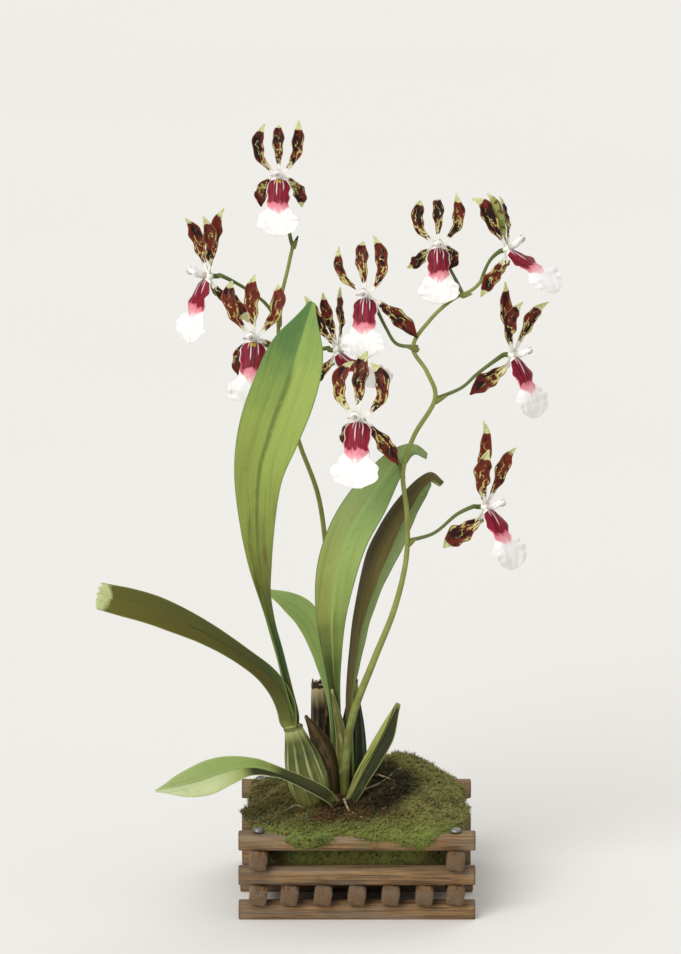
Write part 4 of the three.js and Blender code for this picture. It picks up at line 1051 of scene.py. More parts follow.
@dataclass(frozen=True)
class LeafFinish:
    """A strap leaf. left and right are colours along its two halves, from the foot to the tip. Besides the
    leaf's own colours they hold painted light and shade: on most leaves one half of the fold is painted lit
    and the other shaded, and parts near the foot are painted darker in shade.
    """

    name: str
    left: Sequence[tuple[float, str]]
    right: Sequence[tuple[float, str]]
    under: str
    # The midrib strip's colour: where it is dark it is painted shade in the crease of the fold.
    rib: str
    margin: str
    rib_strength: float = 0.7
    rib_width: float = 0.03
    rib_span: tuple[float, float] = (0.0, 1.0)
    stripes: float = 0.16
    brown: float = 0.0  # how much brown the foot half has

    def material(self) -> Material:
        """Paint both halves with their veins, midrib and margins."""
        p = Paint(self.name)
        across, along, side = p.split(p.named("share"))
        spot = p.join(*p.split(p.named("flow")))
        blur = p.shaken(along, p.noise(spot, 14, 3), 0.12)
        half = p.band(p.add(across, p.mul(p.noise(spot, 9, 2), 0.06)), -0.02, 0.08)
        # Painted light and shade: each half's ramp makes one side of the fold lit and the other shaded, over
        # the leaf's own colours.
        colour = p.mix(half, p.ramp(blur, self.left), p.ramp(blur, self.right))
        veins = p.noise(p.scaled(spot, 1.5, 0.012, 1), 1.0, 3)
        broad = p.noise(p.scaled(spot, 0.3, 0.01, 1), 1.0, 2)
        mottle = p.noise(p.scaled(spot, 1, 0.5, 1), 2.2, 4)
        colour = p.mix(p.all(p.band(veins, 0.5, 0.72), self.stripes), colour, "#b9c47a", "SOFT_LIGHT")
        colour = p.over(colour, "#2f3a17", p.band(veins, 0.5, 0.3), self.stripes)
        colour = p.over(colour, "#3d4a1e", p.band(broad, 0.52, 0.7), self.stripes)
        colour = p.over(colour, "#27320f", p.band(mottle, 0.6, 0.75), 0.18)
        rusty = p.noise(p.scaled(spot, 0.35, 0.03, 1), 1.0, 3)
        colour = p.over(colour, "#5a4217", p.band(rusty, 0.48, 0.68), p.band(blur, 0.62, 0.4), self.brown)
        # The midrib strip, which holds painted crease shade where the rib colour is dark.
        wavering = p.shaken(across, p.noise(spot, 20, 2), self.rib_width)
        rib = p.near(wavering, 0.0, 0.3 * self.rib_width, 2.2 * self.rib_width)
        rib = p.all(rib, p.band(mottle, 0.25, 0.5, 0.55, 1))
        low, high = self.rib_span
        rib = p.all(rib, p.band(along, low - 0.1, low), p.band(along, high + 0.06, high))
        colour = p.over(colour, self.rib, rib, self.rib_strength)
        edge = p.band(p.abs(across), 0.955, 0.99)
        colour = p.over(colour, self.margin, edge, 0.7)
        below = p.band(side, 0.3, -0.3)
        under = p.mix(p.band(broad, 0.35, 0.65), self.under, self.margin)
        colour = p.mix(below, colour, p.mix(0.72, under, self.under))
        p.bump(p.add(veins, p.mul(mottle, 0.35)), 0.22)
        return p.done(colour, p.band(mottle, 0.3, 0.75, 0.42, 0.56), Specular_IOR_Level=0.3)


@dataclass(frozen=True)
class SheathFinish:
    """A stiff or papery sheath with stripes along it."""

    name: str
    left: str
    right: str
    stripe: str
    edge: str
    rate: float = 1.1
    mottling: float = 0.4

    def material(self) -> Material:
        """Paint the stripes along the sheath."""
        p = Paint(self.name)
        across, along, _ = p.split(p.named("share"))
        spot = p.join(*p.split(p.named("flow")))
        lines = p.noise(p.scaled(spot, self.rate, 0.02, 1), 1.0, 3)
        mottle = p.noise(p.scaled(spot, 1, 0.3, 1), 3.0, 3)
        colour = p.mix(p.band(across, -0.4, -0.15), self.left, self.right)
        colour = p.over(colour, self.stripe, p.band(lines, 0.48, 0.6), 0.85)
        colour = p.over(colour, self.edge, p.band(mottle, 0.55, 0.7), self.mottling)
        rim = p.any(p.band(p.abs(across), 0.9, 0.98), p.band(along, 0.95, 1.0))
        colour = p.over(colour, self.edge, rim, 0.8)
        p.bump(p.add(lines, p.mul(mottle, 0.4)), 0.35)
        return p.done(colour, p.band(mottle, 0.2, 0.8, 0.5, 0.7), Specular_IOR_Level=0.25)


@dataclass(frozen=True)
class PetalFinish:
    """Mahogany petals with a few broken yellow-green marks, a cream foot and a pale tip."""

    dark: str = "#200503"
    brown: str = "#611c0b"
    ochre: str = "#99441f"
    mark: str = "#c3bd72"
    pale: str = "#e6e2b8"
    foot: str = "#f4f2e8"
    tip: str = "#d6d3a0"
    under: str = "#74883f"

    def material(self) -> Material:
        """Paint the marks in the petal's own coordinates."""
        p = Paint("petal")
        across, along, side = p.split(p.named("share"))
        x, y, seed = p.split(p.named("flow"))
        red, amount, plain = p.split(p.named("tint"))
        spot = p.join(x, y, p.mul(seed, 7.3))
        wander = p.noise(spot, 4.6, 3)
        blotch = p.noise(p.scaled(spot, 1, 0.42, 1), 3.6, 3)
        fine = p.noise(spot, 1.1, 3)
        warm = p.band(p.add(blotch, p.mul(red, 0.28)), 0.5, 0.6)
        colour = p.mix(warm, self.dark, self.brown)
        colour = p.over(colour, self.ochre, warm, p.band(red, 0.3, 1.0), p.band(wander, 0.4, 0.6))
        swing = p.math("SINE", p.add(p.mul(y, 0.55), p.mul(wander, 11.0)))
        swing = p.mul(swing, p.band(along, 0.1, 0.45, 0.5, 1.35))
        line = p.near(p.sub(x, swing), 0.0, 0.16, 0.42)
        gaps = p.band(p.noise(p.scaled(spot, 0.2, 1, 1), 4.2, 2), 0.43, 0.5)
        line = p.all(line, gaps, p.band(along, 0.82, 0.62))
        border = p.all(p.near(across, 0.84, 0.05, 0.14), p.band(wander, 0.5, 0.56), p.band(along, 0.8, 0.6))
        other = p.all(p.near(across, -0.84, 0.05, 0.14), p.band(wander, 0.5, 0.44), p.band(along, 0.8, 0.6))
        warped = p.join(p.add(x, p.mul(wander, 3.2)), p.mul(y, 0.55), seed)
        net = p.band(p.cells(warped, 3.4), 0.13, 0.08)
        net = p.all(net, p.band(blotch, 0.54, 0.58), p.band(along, 0.62, 0.45))
        low = p.mul(p.sub(0.3, along), 0.5)
        patch = p.band(p.add(p.noise(p.scaled(spot, 1, 0.5, 1), 2.8, 2), low), 0.6, 0.63)
        marks = p.all(p.any(line, net, patch, border, other), p.band(along, 0.9, 0.84), amount)
        colour = p.mix(marks, colour, p.mix(p.band(along, 0.15, 0.4), self.pale, self.mark))
        rim = p.all(p.band(p.abs(across), 0.9, 0.98), 0.45)
        colour = p.mix(rim, colour, "#a8764a")
        shifted = p.shaken(along, blotch, 0.3)
        colour = p.mix(p.band(shifted, 0.2, 0.15), colour, self.foot)
        own = p.noise(p.join(0.0, 0.0, p.mul(seed, 3.1)), 1.0, 0)
        own = p.add(p.mul(wander, 0.2), p.mul(own, 0.24))
        ended = p.add(along, p.sub(own, 0.22))
        tip = p.mix(p.band(fine, 0.4, 0.65), self.tip, "#b5b877")
        colour = p.over(colour, tip, p.band(ended, 0.85, 0.88), p.band(plain, -0.4, -0.1))
        under = p.mix(p.band(blotch, 0.4, 0.62), self.under, "#a3a85c")
        under = p.over(under, "#5e2a15", p.band(wander, 0.54, 0.6), 0.8)
        under = p.over(under, self.tip, p.band(along, 0.85, 0.95), p.band(plain, -0.4, -0.1))
        colour = p.mix(p.band(side, 0.2, -0.2), colour, under)
        colour = p.mix(plain, colour, self.foot)
        veins = p.noise(p.scaled(spot, 2.2, 0.09, 1), 1.0, 3)
        p.bump(p.add(veins, p.mul(marks, 0.25)), 0.22)
        return p.done(colour, p.band(veins, 0.2, 0.8, 0.42, 0.58), Specular_IOR_Level=0.22)


@dataclass(frozen=True)
class LipFinish:
    """A white lip with painted soft shade, and a crimson throat that frays into pink."""

    crimson: str = "#6f051b"
    deep: str = "#500315"
    rose: str = "#8d0b28"
    pink: str = "#e9919a"
    white: str = "#faf8f6"
    shade: str = "#dedadb"
    ridges: tuple[tuple[float, float], ...] = ((-0.42, 0.26), (-0.16, 0.15), (0.12, 0.34), (0.36, 0.16))

    def material(self) -> Material:
        """Paint the throat, its ridges and the lobe."""
        p = Paint("lip")
        across, along, side = p.split(p.named("share"))
        x, y, seed = p.split(p.named("flow"))
        yellow = p.split(p.named("tint"))[0]
        spot = p.join(x, y, p.mul(seed, 5.1))
        streak = p.noise(p.scaled(spot, 1.3, 0.06, 1), 1.0, 3)
        fray = p.noise(p.scaled(spot, 0.55, 0.3, 1), 1.0, 2)
        cloud = p.noise(spot, 5.0, 3)
        frayed = p.shaken(along, fray, 0.2)
        veins = p.noise(p.scaled(spot, 0.6, 0.07, 1), 1.0, 2)
        colour = p.over(self.white, self.shade, p.band(veins, 0.5, 0.7), 0.4)
        # Painted shade: soft grey patches over the white, and a cream shade towards the end of the lobe.
        colour = p.over(colour, "#e9e4e0", p.band(cloud, 0.5, 0.72), 0.6)
        colour = p.over(colour, "#e9e3cf", p.band(along, 0.75, 1.0), p.band(cloud, 0.42, 0.3), 0.6)
        throat = p.band(p.abs(across), 0.98, 0.88)
        narrowing = p.sub(7.2, p.mul(p.band(along, 0.44, 0.66), 5.5))
        inside = p.band(p.sub(p.abs(x), narrowing), 0.6, -0.9)
        grain = p.noise(spot, 0.55, 2)
        fading = p.shaken(frayed, grain, 0.12)
        blush = p.all(p.band(fading, 0.68, 0.52), inside, p.band(along, 0.3, 0.34))
        colour = p.over(colour, self.pink, blush, 0.92)
        colour = p.over(colour, "#d0506c", blush, p.band(fading, 0.55, 0.42), 0.65)
        red = p.mix(p.band(streak, 0.42, 0.6), self.crimson, self.rose)
        red = p.over(red, self.deep, p.band(streak, 0.46, 0.36), 0.85)
        neck = p.all(p.band(frayed, 0.46, 0.41), p.band(along, 0.02, 0.04), throat)
        colour = p.mix(neck, colour, red)
        for place, reach in self.ridges:
            ridge = p.all(p.near(across, place, 0.01, 0.04), p.band(along, reach, reach - 0.1))
            colour = p.over(colour, "#f6dfe2", ridge, 0.85)
        callus = p.all(p.near(along, 0.07, 0.015, 0.035), p.near(across, 0, 0.2, 0.34), yellow)
        colour = p.mix(callus, colour, "#dcb33a")
        colour = p.over(colour, "#f0e4e2", p.band(side, 0.2, -0.2), 0.6)
        p.bump(p.add(veins, p.mul(streak, neck)), 0.3)
        return p.done(colour, p.band(veins, 0.2, 0.8, 0.45, 0.6), Specular_IOR_Level=0.3)


class ColumnPart(Enum):
    """The parts of a column, as its share attribute numbers them."""

    HOOD = 0
    WING = 1
    ANTHER = 2


@dataclass(frozen=True)
class ColumnFinish:
    """A waxy white column, grey towards its root in its own colour and in painted shade, with a pale anther.
    """

    white: str = "#f7f5f1"
    anther: str = "#a59c94"

    def material(self) -> Material:
        """Paint the column from its part and its place along."""
        p = Paint("column")
        _, along, kind = p.split(p.named("share"))
        spot = p.place()
        cloud = p.noise(spot, 2.2, 3)
        colour = p.over(self.white, "#dcd6dc", p.band(cloud, 0.45, 0.7), 0.5)
        # Grey towards the hood's foot: partly its own colour, partly painted shade where the column sits in
        # the flower.
        colour = p.over(colour, "#aaa398", p.band(along, 0.5, 0.2), p.band(kind, 0.5, 0.1), 0.8)
        colour = p.over(colour, "#d6c987", p.band(along, 0.12, 0.0), p.band(kind, 0.5, 0.1), 0.5)
        anther = p.band(kind, 1.5, 1.9)
        colour = p.mix(anther, colour, p.mix(p.band(cloud, 0.4, 0.65), self.anther, "#dfd6dc"))
        p.bump(cloud, 0.15)
        return p.done(colour, p.band(cloud, 0.2, 0.8, 0.32, 0.45))


@dataclass(frozen=True)
class MossFinish:
    """Moss and peat, whose colours change over the mound, with painted shade in the hollow round the plant's
    foot and low on the sides inside the basket.
    """

    name: str = "moss"
    green: str = "#8f8c50"
    olive: str = "#716a3c"
    brown: str = "#6c6036"
    # The colour of the painted shade in the hollow round the plant's foot; hollow gives the middle of that
    # shade.
    hollow_shade: str = "#1e140b"
    hollow: tuple[float, float] = (5.0, -14.0)  # the middle of the dark place, in mm
    peat: tuple[float, float] = (-8.0, -40.0)  # the middle of the bare peat, in mm
    lift: float = 0.0  # how much lighter the free tips are

    def material(self) -> Material:
        """Paint the regions of the mound."""
        p = Paint(self.name)
        spot = p.place()
        x, y, z = p.split(spot)
        wide = p.noise(spot, 16, 3)
        fine = p.noise(spot, 2.4, 4)
        shade = p.value("shade")
        ground = p.shaken(x, wide, 70)
        ground = p.add(ground, p.mul(y, 0.45))
        colour = p.mix(p.band(ground, -28, 18), self.brown, self.green)
        middle = p.all(p.near(ground, -14, 6, 26), p.band(fine, 0.35, 0.6))
        colour = p.mix(middle, colour, self.olive)
        colour = p.over(colour, "#999c58", p.band(fine, 0.55, 0.7), 0.4)
        bluish = p.all(p.band(p.noise(spot, 5, 2), 0.6, 0.7), p.band(x, 0, -20), 0.7)
        colour = p.mix(bluish, colour, "#4f7a5e")
        away = p.distance(x, y, self.hollow)
        clump = p.band(p.noise(spot, 8.5, 3), 0.52, 0.62)
        colour = p.over(colour, "#4c4526", clump, p.band(y, -52, -40), 0.6)
        # Painted shade: the hollow round the plant's foot is darkened almost to black.
        dark = p.all(p.band(away, 38, 24), p.band(wide, 0.3, 0.55, 1.0, 0.75))
        colour = p.mix(dark, colour, self.hollow_shade)
        peat = p.distance(x, y, self.peat)
        colour = p.over(colour, "#54301c", p.band(peat, 24, 10), p.band(fine, 0.35, 0.55), 0.8)
        fringe = p.all(p.band(y, -40, -52), p.band(z, 57, 50), p.band(fine, 0.3, 0.55))
        colour = p.over(colour, "#8f9e4c", fringe, 0.8)
        # Painted shade: the plug's sides low inside the basket, seen between the slats, are darkened.
        low = p.band(z, 38, 28)
        colour = p.over(colour, "#4a3a22", low, 0.4)
        tone = p.mix(p.band(shade, 0, 1), "#3a3a3a", "#c9c9c9")
        colour = p.mix(0.4, colour, tone, "OVERLAY")
        if self.lift:
            tip = p.split(p.named("share"))[1]
            colour = p.mix(p.all(p.band(tip, 0.3, 1.0), self.lift), colour, "#a4a868", "SCREEN")
            # Painted shade in the hollow again, laid over the lighter tips.
            colour = p.over(colour, self.hollow_shade, dark, 0.84)
        else:
            p.bump(fine, 1.2)
        return p.done(colour, 0.9, Specular_IOR_Level=0.15)


@dataclass(frozen=True)
class ChipFinish:
    """Chips of bark and peat."""

    dark: str = "#2a180d"
    light: str = "#5e3c25"

    def material(self) -> Material:
        """Paint the chips."""
        p = Paint("bark_chips")
        spot = p.place()
        shade = p.value("shade")
        fibre = p.noise(p.scaled(spot, 1, 1, 0.4), 1.2, 3)
        colour = p.mix(p.band(fibre, 0.35, 0.65), self.dark, self.light)
        colour = p.mix(p.mul(shade, 0.5), colour, "#75583a")
        p.bump(fibre, 0.4)
        return p.done(colour, 0.85, Specular_IOR_Level=0.15)


@dataclass(frozen=True)
class FloorFinish:
    """The plain pale floor of the studio."""

    pale: str = "#f2f0ec"

    def material(self) -> Material:
        """Paint the floor, hardly mottled."""
        p = Paint("studio_floor")
        cloud = p.noise(p.place(), 900, 2)
        return p.done(p.mix(cloud, self.pale, "#eeece7"), 0.9)


# The plant's lists. Places are column and row of the picture, with the depth in mm.


@dataclass(frozen=True)
class Strap:
    """A leaf or a sheath: its route, the ways its face looks, and its blade."""

    name: str
    route: Sequence
    faces: Sequence
    widths: Sequence[float]
    folds: Sequence[float]
    cups: Sequence[float] = (0, 0)
    wave: float = 0.0

    def spine(self) -> RouteSpine:
        """Return the strap's spine."""
        return RouteSpine(PICTURE.route(self.route), self.faces)


@dataclass(frozen=True)
class Bloom:
    """A flower: its place, its turn to the right and tip upwards in degrees, and its petals."""

    place: Sequence[float]
    turn: float
    tip: float
    size: float
    petals: Sequence[dict]
    lip_lean: float = 0.0
    lip_twist: float = 0.0
    lip_leans: Sequence[float] | None = None

    def frame(self) -> FlowerFrame:
        """Return the flower's frame."""
        t, e = math.radians(self.turn), math.radians(self.tip)
        front = np.array([math.sin(t) * math.cos(e), -math.cos(t) * math.cos(e), math.sin(e)])
        up = np.array([-math.sin(t) * math.sin(e), math.cos(t) * math.sin(e), math.cos(e)])
        return FlowerFrame(PICTURE.seen(*self.place), front, up)


@dataclass(frozen=True)
class Spike:
    """A flower spike: its stem, the stalks to its flowers and the bracts at their feet."""

    name: str
    route: Sequence
    radii: Sequence[float]
    stalks: Sequence[tuple[int, Sequence]]
    bracts: Sequence


LEAVES = [
    Strap(name="leaf_tall", route=[[297, 726, -20], [286, 690, -22], [277, 653, -25], [268, 619, -28], [260,
        580, -30], [257, 530, -33], [259, 475, -36], [270, 432, -38], [287, 385, -39], [303, 333, -38],
        [312, 303, -36]], faces=[[0.75, -0.65, 0], [0.6, -0.8, 0], [0.05, -1, 0.1], [-0.1, -1, 0.1], [-0.1,
        -1, 0.1]], widths=[3.2, 3.6, 3.6, 4.2, 7.2, 10.4, 13.6, 17.2, 17.8, 14.4, 2.3], folds=[52, 50, 40,
        26, 20, 16, 12, 10, 12], cups=[0, 0, 0.05, 0.1, 0.12, 0.1], wave=0.8),
    Strap(name="leaf_arching", route=[[293, 731, -19], [288, 703, -20], [270, 677, -22], [241, 655, -25],
        [208, 635, -29], [176, 620, -31], [145, 608, -33], [98, 596, -36]], faces=[[-0.5, -0.85, 0.2],
        [-0.3, -0.9, 0.3], [-0.1, -0.9, 0.4], [0, -0.9, 0.4], [0, -0.9, 0.35]], widths=[6.0, 6.8, 6.0, 5.2,
        5.4, 6.4, 7.6, 8.2, 8.2, 7.4], folds=[34, 26, 20, 16, 12, 10, 8], cups=[0.15, 0.1, 0.08, 0.1],
        wave=0.5),
    Strap(name="leaf_low", route=[[336, 808, -27], [322, 796, -32], [300, 784, -36], [277, 774, -39], [252,
        768, -42], [226, 772, -45], [195, 782, -48], [156, 791, -52]], faces=[[0.1, -0.7, 0.7], [0.2, -0.7,
        0.7], [0.1, -0.8, 0.6], [0, -0.95, 0.3], [0, -0.95, 0.35]], widths=[4, 5, 4.8, 4, 5.4, 8.4, 9.4,
        6.4, 0.7], folds=[40, 38, 34, 26, 16, 12, 12], cups=[0, 0, 0.05], wave=0.5),
    Strap(name="leaf_behind", route=[[333, 808, 3], [336, 760, 5], [335, 705, 8], [326, 655, 11], [309, 619,
        13], [289, 602, 14], [264, 590, 14]], faces=[[-0.5, -0.8, 0], [-0.5, -0.8, 0.1], [-0.3, -0.9, 0.3],
        [-0.1, -0.9, 0.4]], widths=[2.2, 2.4, 2.8, 4.0, 6.4, 7.4, 6.6, 1.2], folds=[55, 50, 36, 20, 14, 12],
        cups=[0, 0, 0.06], wave=0.4),
    Strap(name="leaf_centre", route=[[341, 808, -5], [339, 760, -5], [336, 710, -6], [333, 660, -8], [332,
        612, -10], [338, 568, -12], [350, 532, -13], [369, 500, -13], [387, 474, -13], [402, 457, -12],
        [414, 451, -11], [426, 457, -10]], faces=[[0.2, -1, 0], [0.1, -1, 0], [-0.1, -1, 0], [-0.1, -1,
        0.1], [0, -0.95, 0.3], [0.1, -0.5, 0.9]], widths=[2.8, 3.2, 3.4, 4.2, 6.6, 9.4, 11.6, 12, 11.4, 7.8,
        2.6], folds=[56, 52, 46, 30, 22, 16, 14, 16], cups=[0, 0, 0.06, 0.08], wave=0.7),
    Strap(name="leaf_dark", route=[[350, 808, -3], [349, 760, -3], [347, 715, -3], [348, 680, -3], [351,
        645, -3], [355, 612, -3], [366, 558, -4], [379, 529, -4], [392, 508, -5], [406, 491, -5], [420, 478,
        -6], [432, 473, -6], [443, 482, -7]], faces=[[0.9, -0.4, 0.1], [0.9, -0.4, 0.1], [0.9, -0.4, 0],
        [0.8, -0.4, -0.5], [0.7, -0.4, -0.6], [0.1, -0.4, -0.9]], widths=[2.4, 2.6, 2.8, 3.6, 6, 9, 13, 17,
        15.5, 11, 3.4], folds=[62, 62, 60, 60, 60, 60], cups=[0, 0, -0.05], wave=0.4),
]
SHEATHS = [
    Strap(name="sheath_brown", route=[[334, 810, -17], [333, 778, -17], [325, 748, -16], [306, 716, -14]],
        faces=[[-0.5, 0.85, 0.1], [-0.5, 0.85, 0.1], [-0.4, 0.85, -0.2]], widths=[5.2, 7.4, 7.4, 5.2, 1.0],
        folds=[26, 28, 26, 20]),
    Strap(name="sheath_pale", route=[[340, 810, -12], [343, 765, -12], [341, 730, -11], [332, 690, -10]],
        faces=[[-0.3, 0.9, 0], [-0.3, 0.9, 0], [-0.3, 0.9, 0]], widths=[3.6, 4, 3.8, 2.8, 0.8], folds=[36,
        36, 32, 30]),
    Strap(name="sheath_shoot", route=[[345, 812, -20], [364, 774, -22], [383, 740, -24], [398, 704, -25]],
        faces=[[0.1, -0.9, 0.4], [0.1, -0.9, 0.3], [0.1, -0.9, 0.2]], widths=[3.2, 4.6, 5.4, 5.0, 1.6],
        folds=[36, 30, 24, 24]),
]
STANDARD = [
    Heading(clocks=[0, 0, 0, 0], leans=[8, 2, -12, -50], length=0.96, width=0.92),
    Heading(clocks=[46, 28, 4, -6], leans=[14, 8, -8, -30], length=1.05, width=1),
    Heading(clocks=[-46, -28, -4, 6], leans=[14, 8, -8, -30], length=1.05, width=1),
    Heading(clocks=[108, 140, 168, 182], leans=[-28, -38, -42, -30], length=0.92, width=1.05),
    Heading(clocks=[-108, -140, -168, -182], leans=[-28, -38, -42, -30], length=0.92, width=1.05),
]
BLOOMS = [
    Bloom(place=[279, 176, 3], turn=-4, tip=4, size=0.84, petals=[dict(clocks=[0, -2, -2, 0], leans=[8, 0,
        -20, -75]), dict(clocks=[50, 28, 2, 4], leans=[14, 8, 0, 10], length=1.1, width=0.95),
        dict(clocks=[-54, -34, 4, 30], leans=[14, 8, -4, -20], length=1.06, width=0.95), dict(), dict()]),
    Bloom(place=[209, 276, 8], turn=-72, tip=4, size=0.98, lip_twist=-18, petals=[dict(clocks=[0, 4, 10,
        20], leans=[-2, -6, -4, -20], twists=[20, 50, 50, 30], length=1.06), dict(clocks=[34, 22, 10, 4],
        leans=[8, 6, 14, 40], twists=[20, 50, 60, 60]), dict(clocks=[-34, -22, -10, -4], leans=[10, 14, 22,
        50], twists=[20, 50, 60, 60], length=0.95), dict(clocks=[140, 158, 164, 166], leans=[-16, -50, -46,
        -30], twists=[0, -50, -50, -40], width=1.2), dict(clocks=[-140, -158, -164, -166], leans=[-12, -48,
        -50, -40])]),
    Bloom(place=[254, 338, -12], turn=-8, tip=2, size=0.96, petals=[dict(clocks=[0, -4, -2, 14], leans=[8,
        2, -6, -16], width=1.1), dict(clocks=[50, 36, 6, -30], leans=[16, 10, -14, -70]), dict(clocks=[-44,
        -32, -12, 20], leans=[16, 10, -14, -60]), dict(), dict(clocks=[-120, -155, -180, -190],
        length=1.1)]),
    Bloom(place=[366, 295, -20], turn=-10, tip=4, size=0.88, petals=[dict(clocks=[-6, -8, -6, 0], leans=[8,
        2, -20, -70], width=1), dict(clocks=[50, 20, -12, -34], leans=[12, 6, -2, -6], length=1.12),
        dict(clocks=[-56, -50, -10, 4], leans=[10, 4, 0, 0], length=0.98, width=0.72), dict(clocks=[120,
        126, 134, 146], leans=[-6, -12, -14, -10], length=1.12, width=1.25), dict(clocks=[-150, -165, -175,
        -180], leans=[-46, -60, -64, -60])]),
    Bloom(place=[337, 350, 6], turn=58, tip=6, size=0.9, lip_twist=16, lip_leans=[40, 58, 66, 60, 50, 36],
        petals=[dict(clocks=[0, -4, -6, -10], leans=[-8, -14, -8, 10], twists=[-20, -40, -40, -40]),
        dict(clocks=[34, 20, 6, 0], leans=[0, -6, -4, 20]), dict(clocks=[-34, -24, -8, 0], leans=[-10, -18,
        -20, -30], twists=[-20, -50, -50, -30]), dict(clocks=[140, 158, 164, 168], leans=[-16, -54, -54,
        -44]), dict(clocks=[-136, -154, -160, -164], leans=[-10, -42, -46, -36], twists=[0, 40, 50, 40])]),
    Bloom(place=[359, 418, -42], turn=-12, tip=4, size=0.98, petals=[dict(clocks=[0, 2, 4, 20], leans=[8, 2,
        -14, -40], length=1.02, width=1.1), dict(clocks=[62, 34, -14, -64], leans=[14, 8, -10, -30],
        length=1.1), dict(clocks=[-54, -24, 12, 60], leans=[14, 8, -10, -30], length=1.03),
        dict(clocks=[126, 140, 148, 150], leans=[-10, -16, -16, -8], width=1.15), dict(clocks=[-120, -150,
        -172, -180], leans=[-34, -46, -46, -34])]),
    Bloom(place=[438, 245, -6], turn=3, tip=2, size=0.82, petals=[dict(leans=[8, 2, -30, -100]),
        dict(clocks=[54, 34, -2, -10], leans=[12, 6, -4, -6], length=1.06), dict(clocks=[-56, -38, 8, 20],
        leans=[14, 8, -20, -70]), dict(clocks=[104, 140, 186, 206], length=0.84), dict(clocks=[-118, -138,
        -146, -116], length=0.86)]),
    Bloom(place=[507, 249, -2], turn=66, tip=22, size=0.92, lip_twist=16, lip_leans=[46, 42, 34, 28, 18, 4],
        petals=[dict(clocks=[0, 0, 0, 0], leans=[10, 6, 4, -34], twists=[10, 90, 130, 120], length=0.94,
        width=0.8), dict(clocks=[26, 14, 2, -4], leans=[16, 10, 6, 2], length=0.84, width=0.8),
        dict(clocks=[-34, -22, -10, -10], leans=[6, -2, 2, -62], twists=[-20, -60, -64, -40], width=1.1),
        dict(clocks=[130, 158, 164, 168], leans=[-4, -58, -60, -50], length=0.9), dict(clocks=[-130, -158,
        -164, -168], leans=[-4, -50, -54, -44], twists=[0, 50, 60, 50], length=0.9)]),
    Bloom(place=[512, 355, -12], turn=64, tip=4, size=0.94, lip_lean=6, lip_twist=16,
        petals=[dict(clocks=[0, 2, 2, 0], leans=[-2, -8, -2, 6], twists=[-20, -50, -50, -30], length=1.14),
        dict(clocks=[34, 22, 8, 0], leans=[18, 22, 34, 76], twists=[-10, -30, -40, -40]), dict(clocks=[-36,
        -24, -8, 0], leans=[8, 12, 22, 60], twists=[-20, -50, -56, -50]), dict(clocks=[140, 156, 162, 166],
        leans=[-16, -62, -64, -54]), dict(clocks=[-140, -156, -162, -166], leans=[-12, -52, -54, -44],
        twists=[0, 50, 60, 50], width=1.3)]),
    Bloom(place=[485, 507, -20], turn=62, tip=4, size=0.96, lip_lean=12, lip_twist=16,
        petals=[dict(clocks=[0, 0, 6, -8], leans=[2, 0, 10, -12], twists=[-20, -40, -50, -40], length=1.34),
        dict(clocks=[34, 22, 8, 0], leans=[16, 20, 22, 56], twists=[-10, -40, -50, -50]), dict(clocks=[-34,
        -24, -8, 0], leans=[8, 12, 16, 30], twists=[-20, -50, -60, -50], width=1.2), dict(clocks=[140, 156,
        162, 166], leans=[-12, -48, -54, -44]), dict(clocks=[-140, -156, -162, -166], leans=[-10, -48, -56,
        -40], twists=[0, 50, 60, 50], width=1.5)]),
]
SPIKES = [
    Spike(name="flower_spike_left", route=[[344, 806, 17], [340, 740, 17], [333, 670, 16], [328, 600, 15],
        [326, 550, 14], [318, 495, 13], [300, 445, 12], [287, 400, 12], [279, 350, 12], [280, 305, 11],
        [288, 268, 10], [293, 245, 10]], radii=[2.3, 1.9, 1.5, 1.3, 1.15, 1.0], stalks=[(0, [[293, 247, 10],
        [290, 236, 13], [286, 210, 20], [282, 190, 17]]), (1, [[279, 322, 11], [264, 302, 14], [243, 287,
        12], [222, 276, 6]]), (2, [[280, 362, 12], [274, 352, 13], [264, 344, 10]]), (4, [[286, 392, 12],
        [299, 366, 13], [315, 352, 12], [328, 348, 10]])], bracts=[[[293, 248, 9], [298, 236, 8]], [[279,
        326, 11], [281, 312, 8]], [[281, 366, 12], [276, 352, 16]], [[287, 396, 12], [284, 380, 9]]]),
    Spike(name="flower_spike_right", route=[[345, 806, -14], [346, 762, -16], [353, 715, -18], [374, 660,
        -21], [394, 610, -24], [406, 560, -25], [407, 515, -25], [403, 472, -24], [414, 436, -23], [435,
        399, -21], [427, 372, -19], [413, 347, -17], [430, 320, -14], [452, 300, -10], [472, 290, -7], [484,
        278, -5]], radii=[2.4, 2.25, 1.85, 1.5, 1.35, 1.25, 1.1, 0.95], stalks=[(9, [[408, 541, -25], [434,
        533, -25], [456, 515, -23], [472, 507, -22]]), (5, [[403, 472, -24], [392, 454, -23], [374, 434,
        -28]]), (8, [[435, 399, -21], [461, 388, -19], [477, 374, -17], [493, 362, -15]]), (3, [[418, 347,
        -17], [397, 344, -15], [386, 328, -13], [376, 308, -12]]), (6, [[463, 295, -8], [457, 282, 2], [449,
        267, 12]]), (7, [[481, 282, -5], [485, 270, -2], [491, 259, 1]])], bracts=[[[408, 545, -25], [417,
        538, -29]], [[403, 478, -24], [398, 458, -22]], [[435, 402, -21], [447, 396, -25]], [[418, 350,
        -17], [404, 346, -21]], [[462, 296, -8], [472, 294, -11]]]),
]
PETAL_OUTLINE = [0.24, 0.31, 0.48, 0.74, 0.97, 1.08, 1.02, 0.6, 0.14]
PETAL_FOLDS = [34, 26, 16, 12, 16, 24]
LIP_LEANS = [42, 20, 12, 8, 0, -12]
LIP_OUTLINE = [0.32, 0.54, 0.58, 0.56, 0.52, 0.54, 0.76, 0.98, 1, 0.84, 0.3]
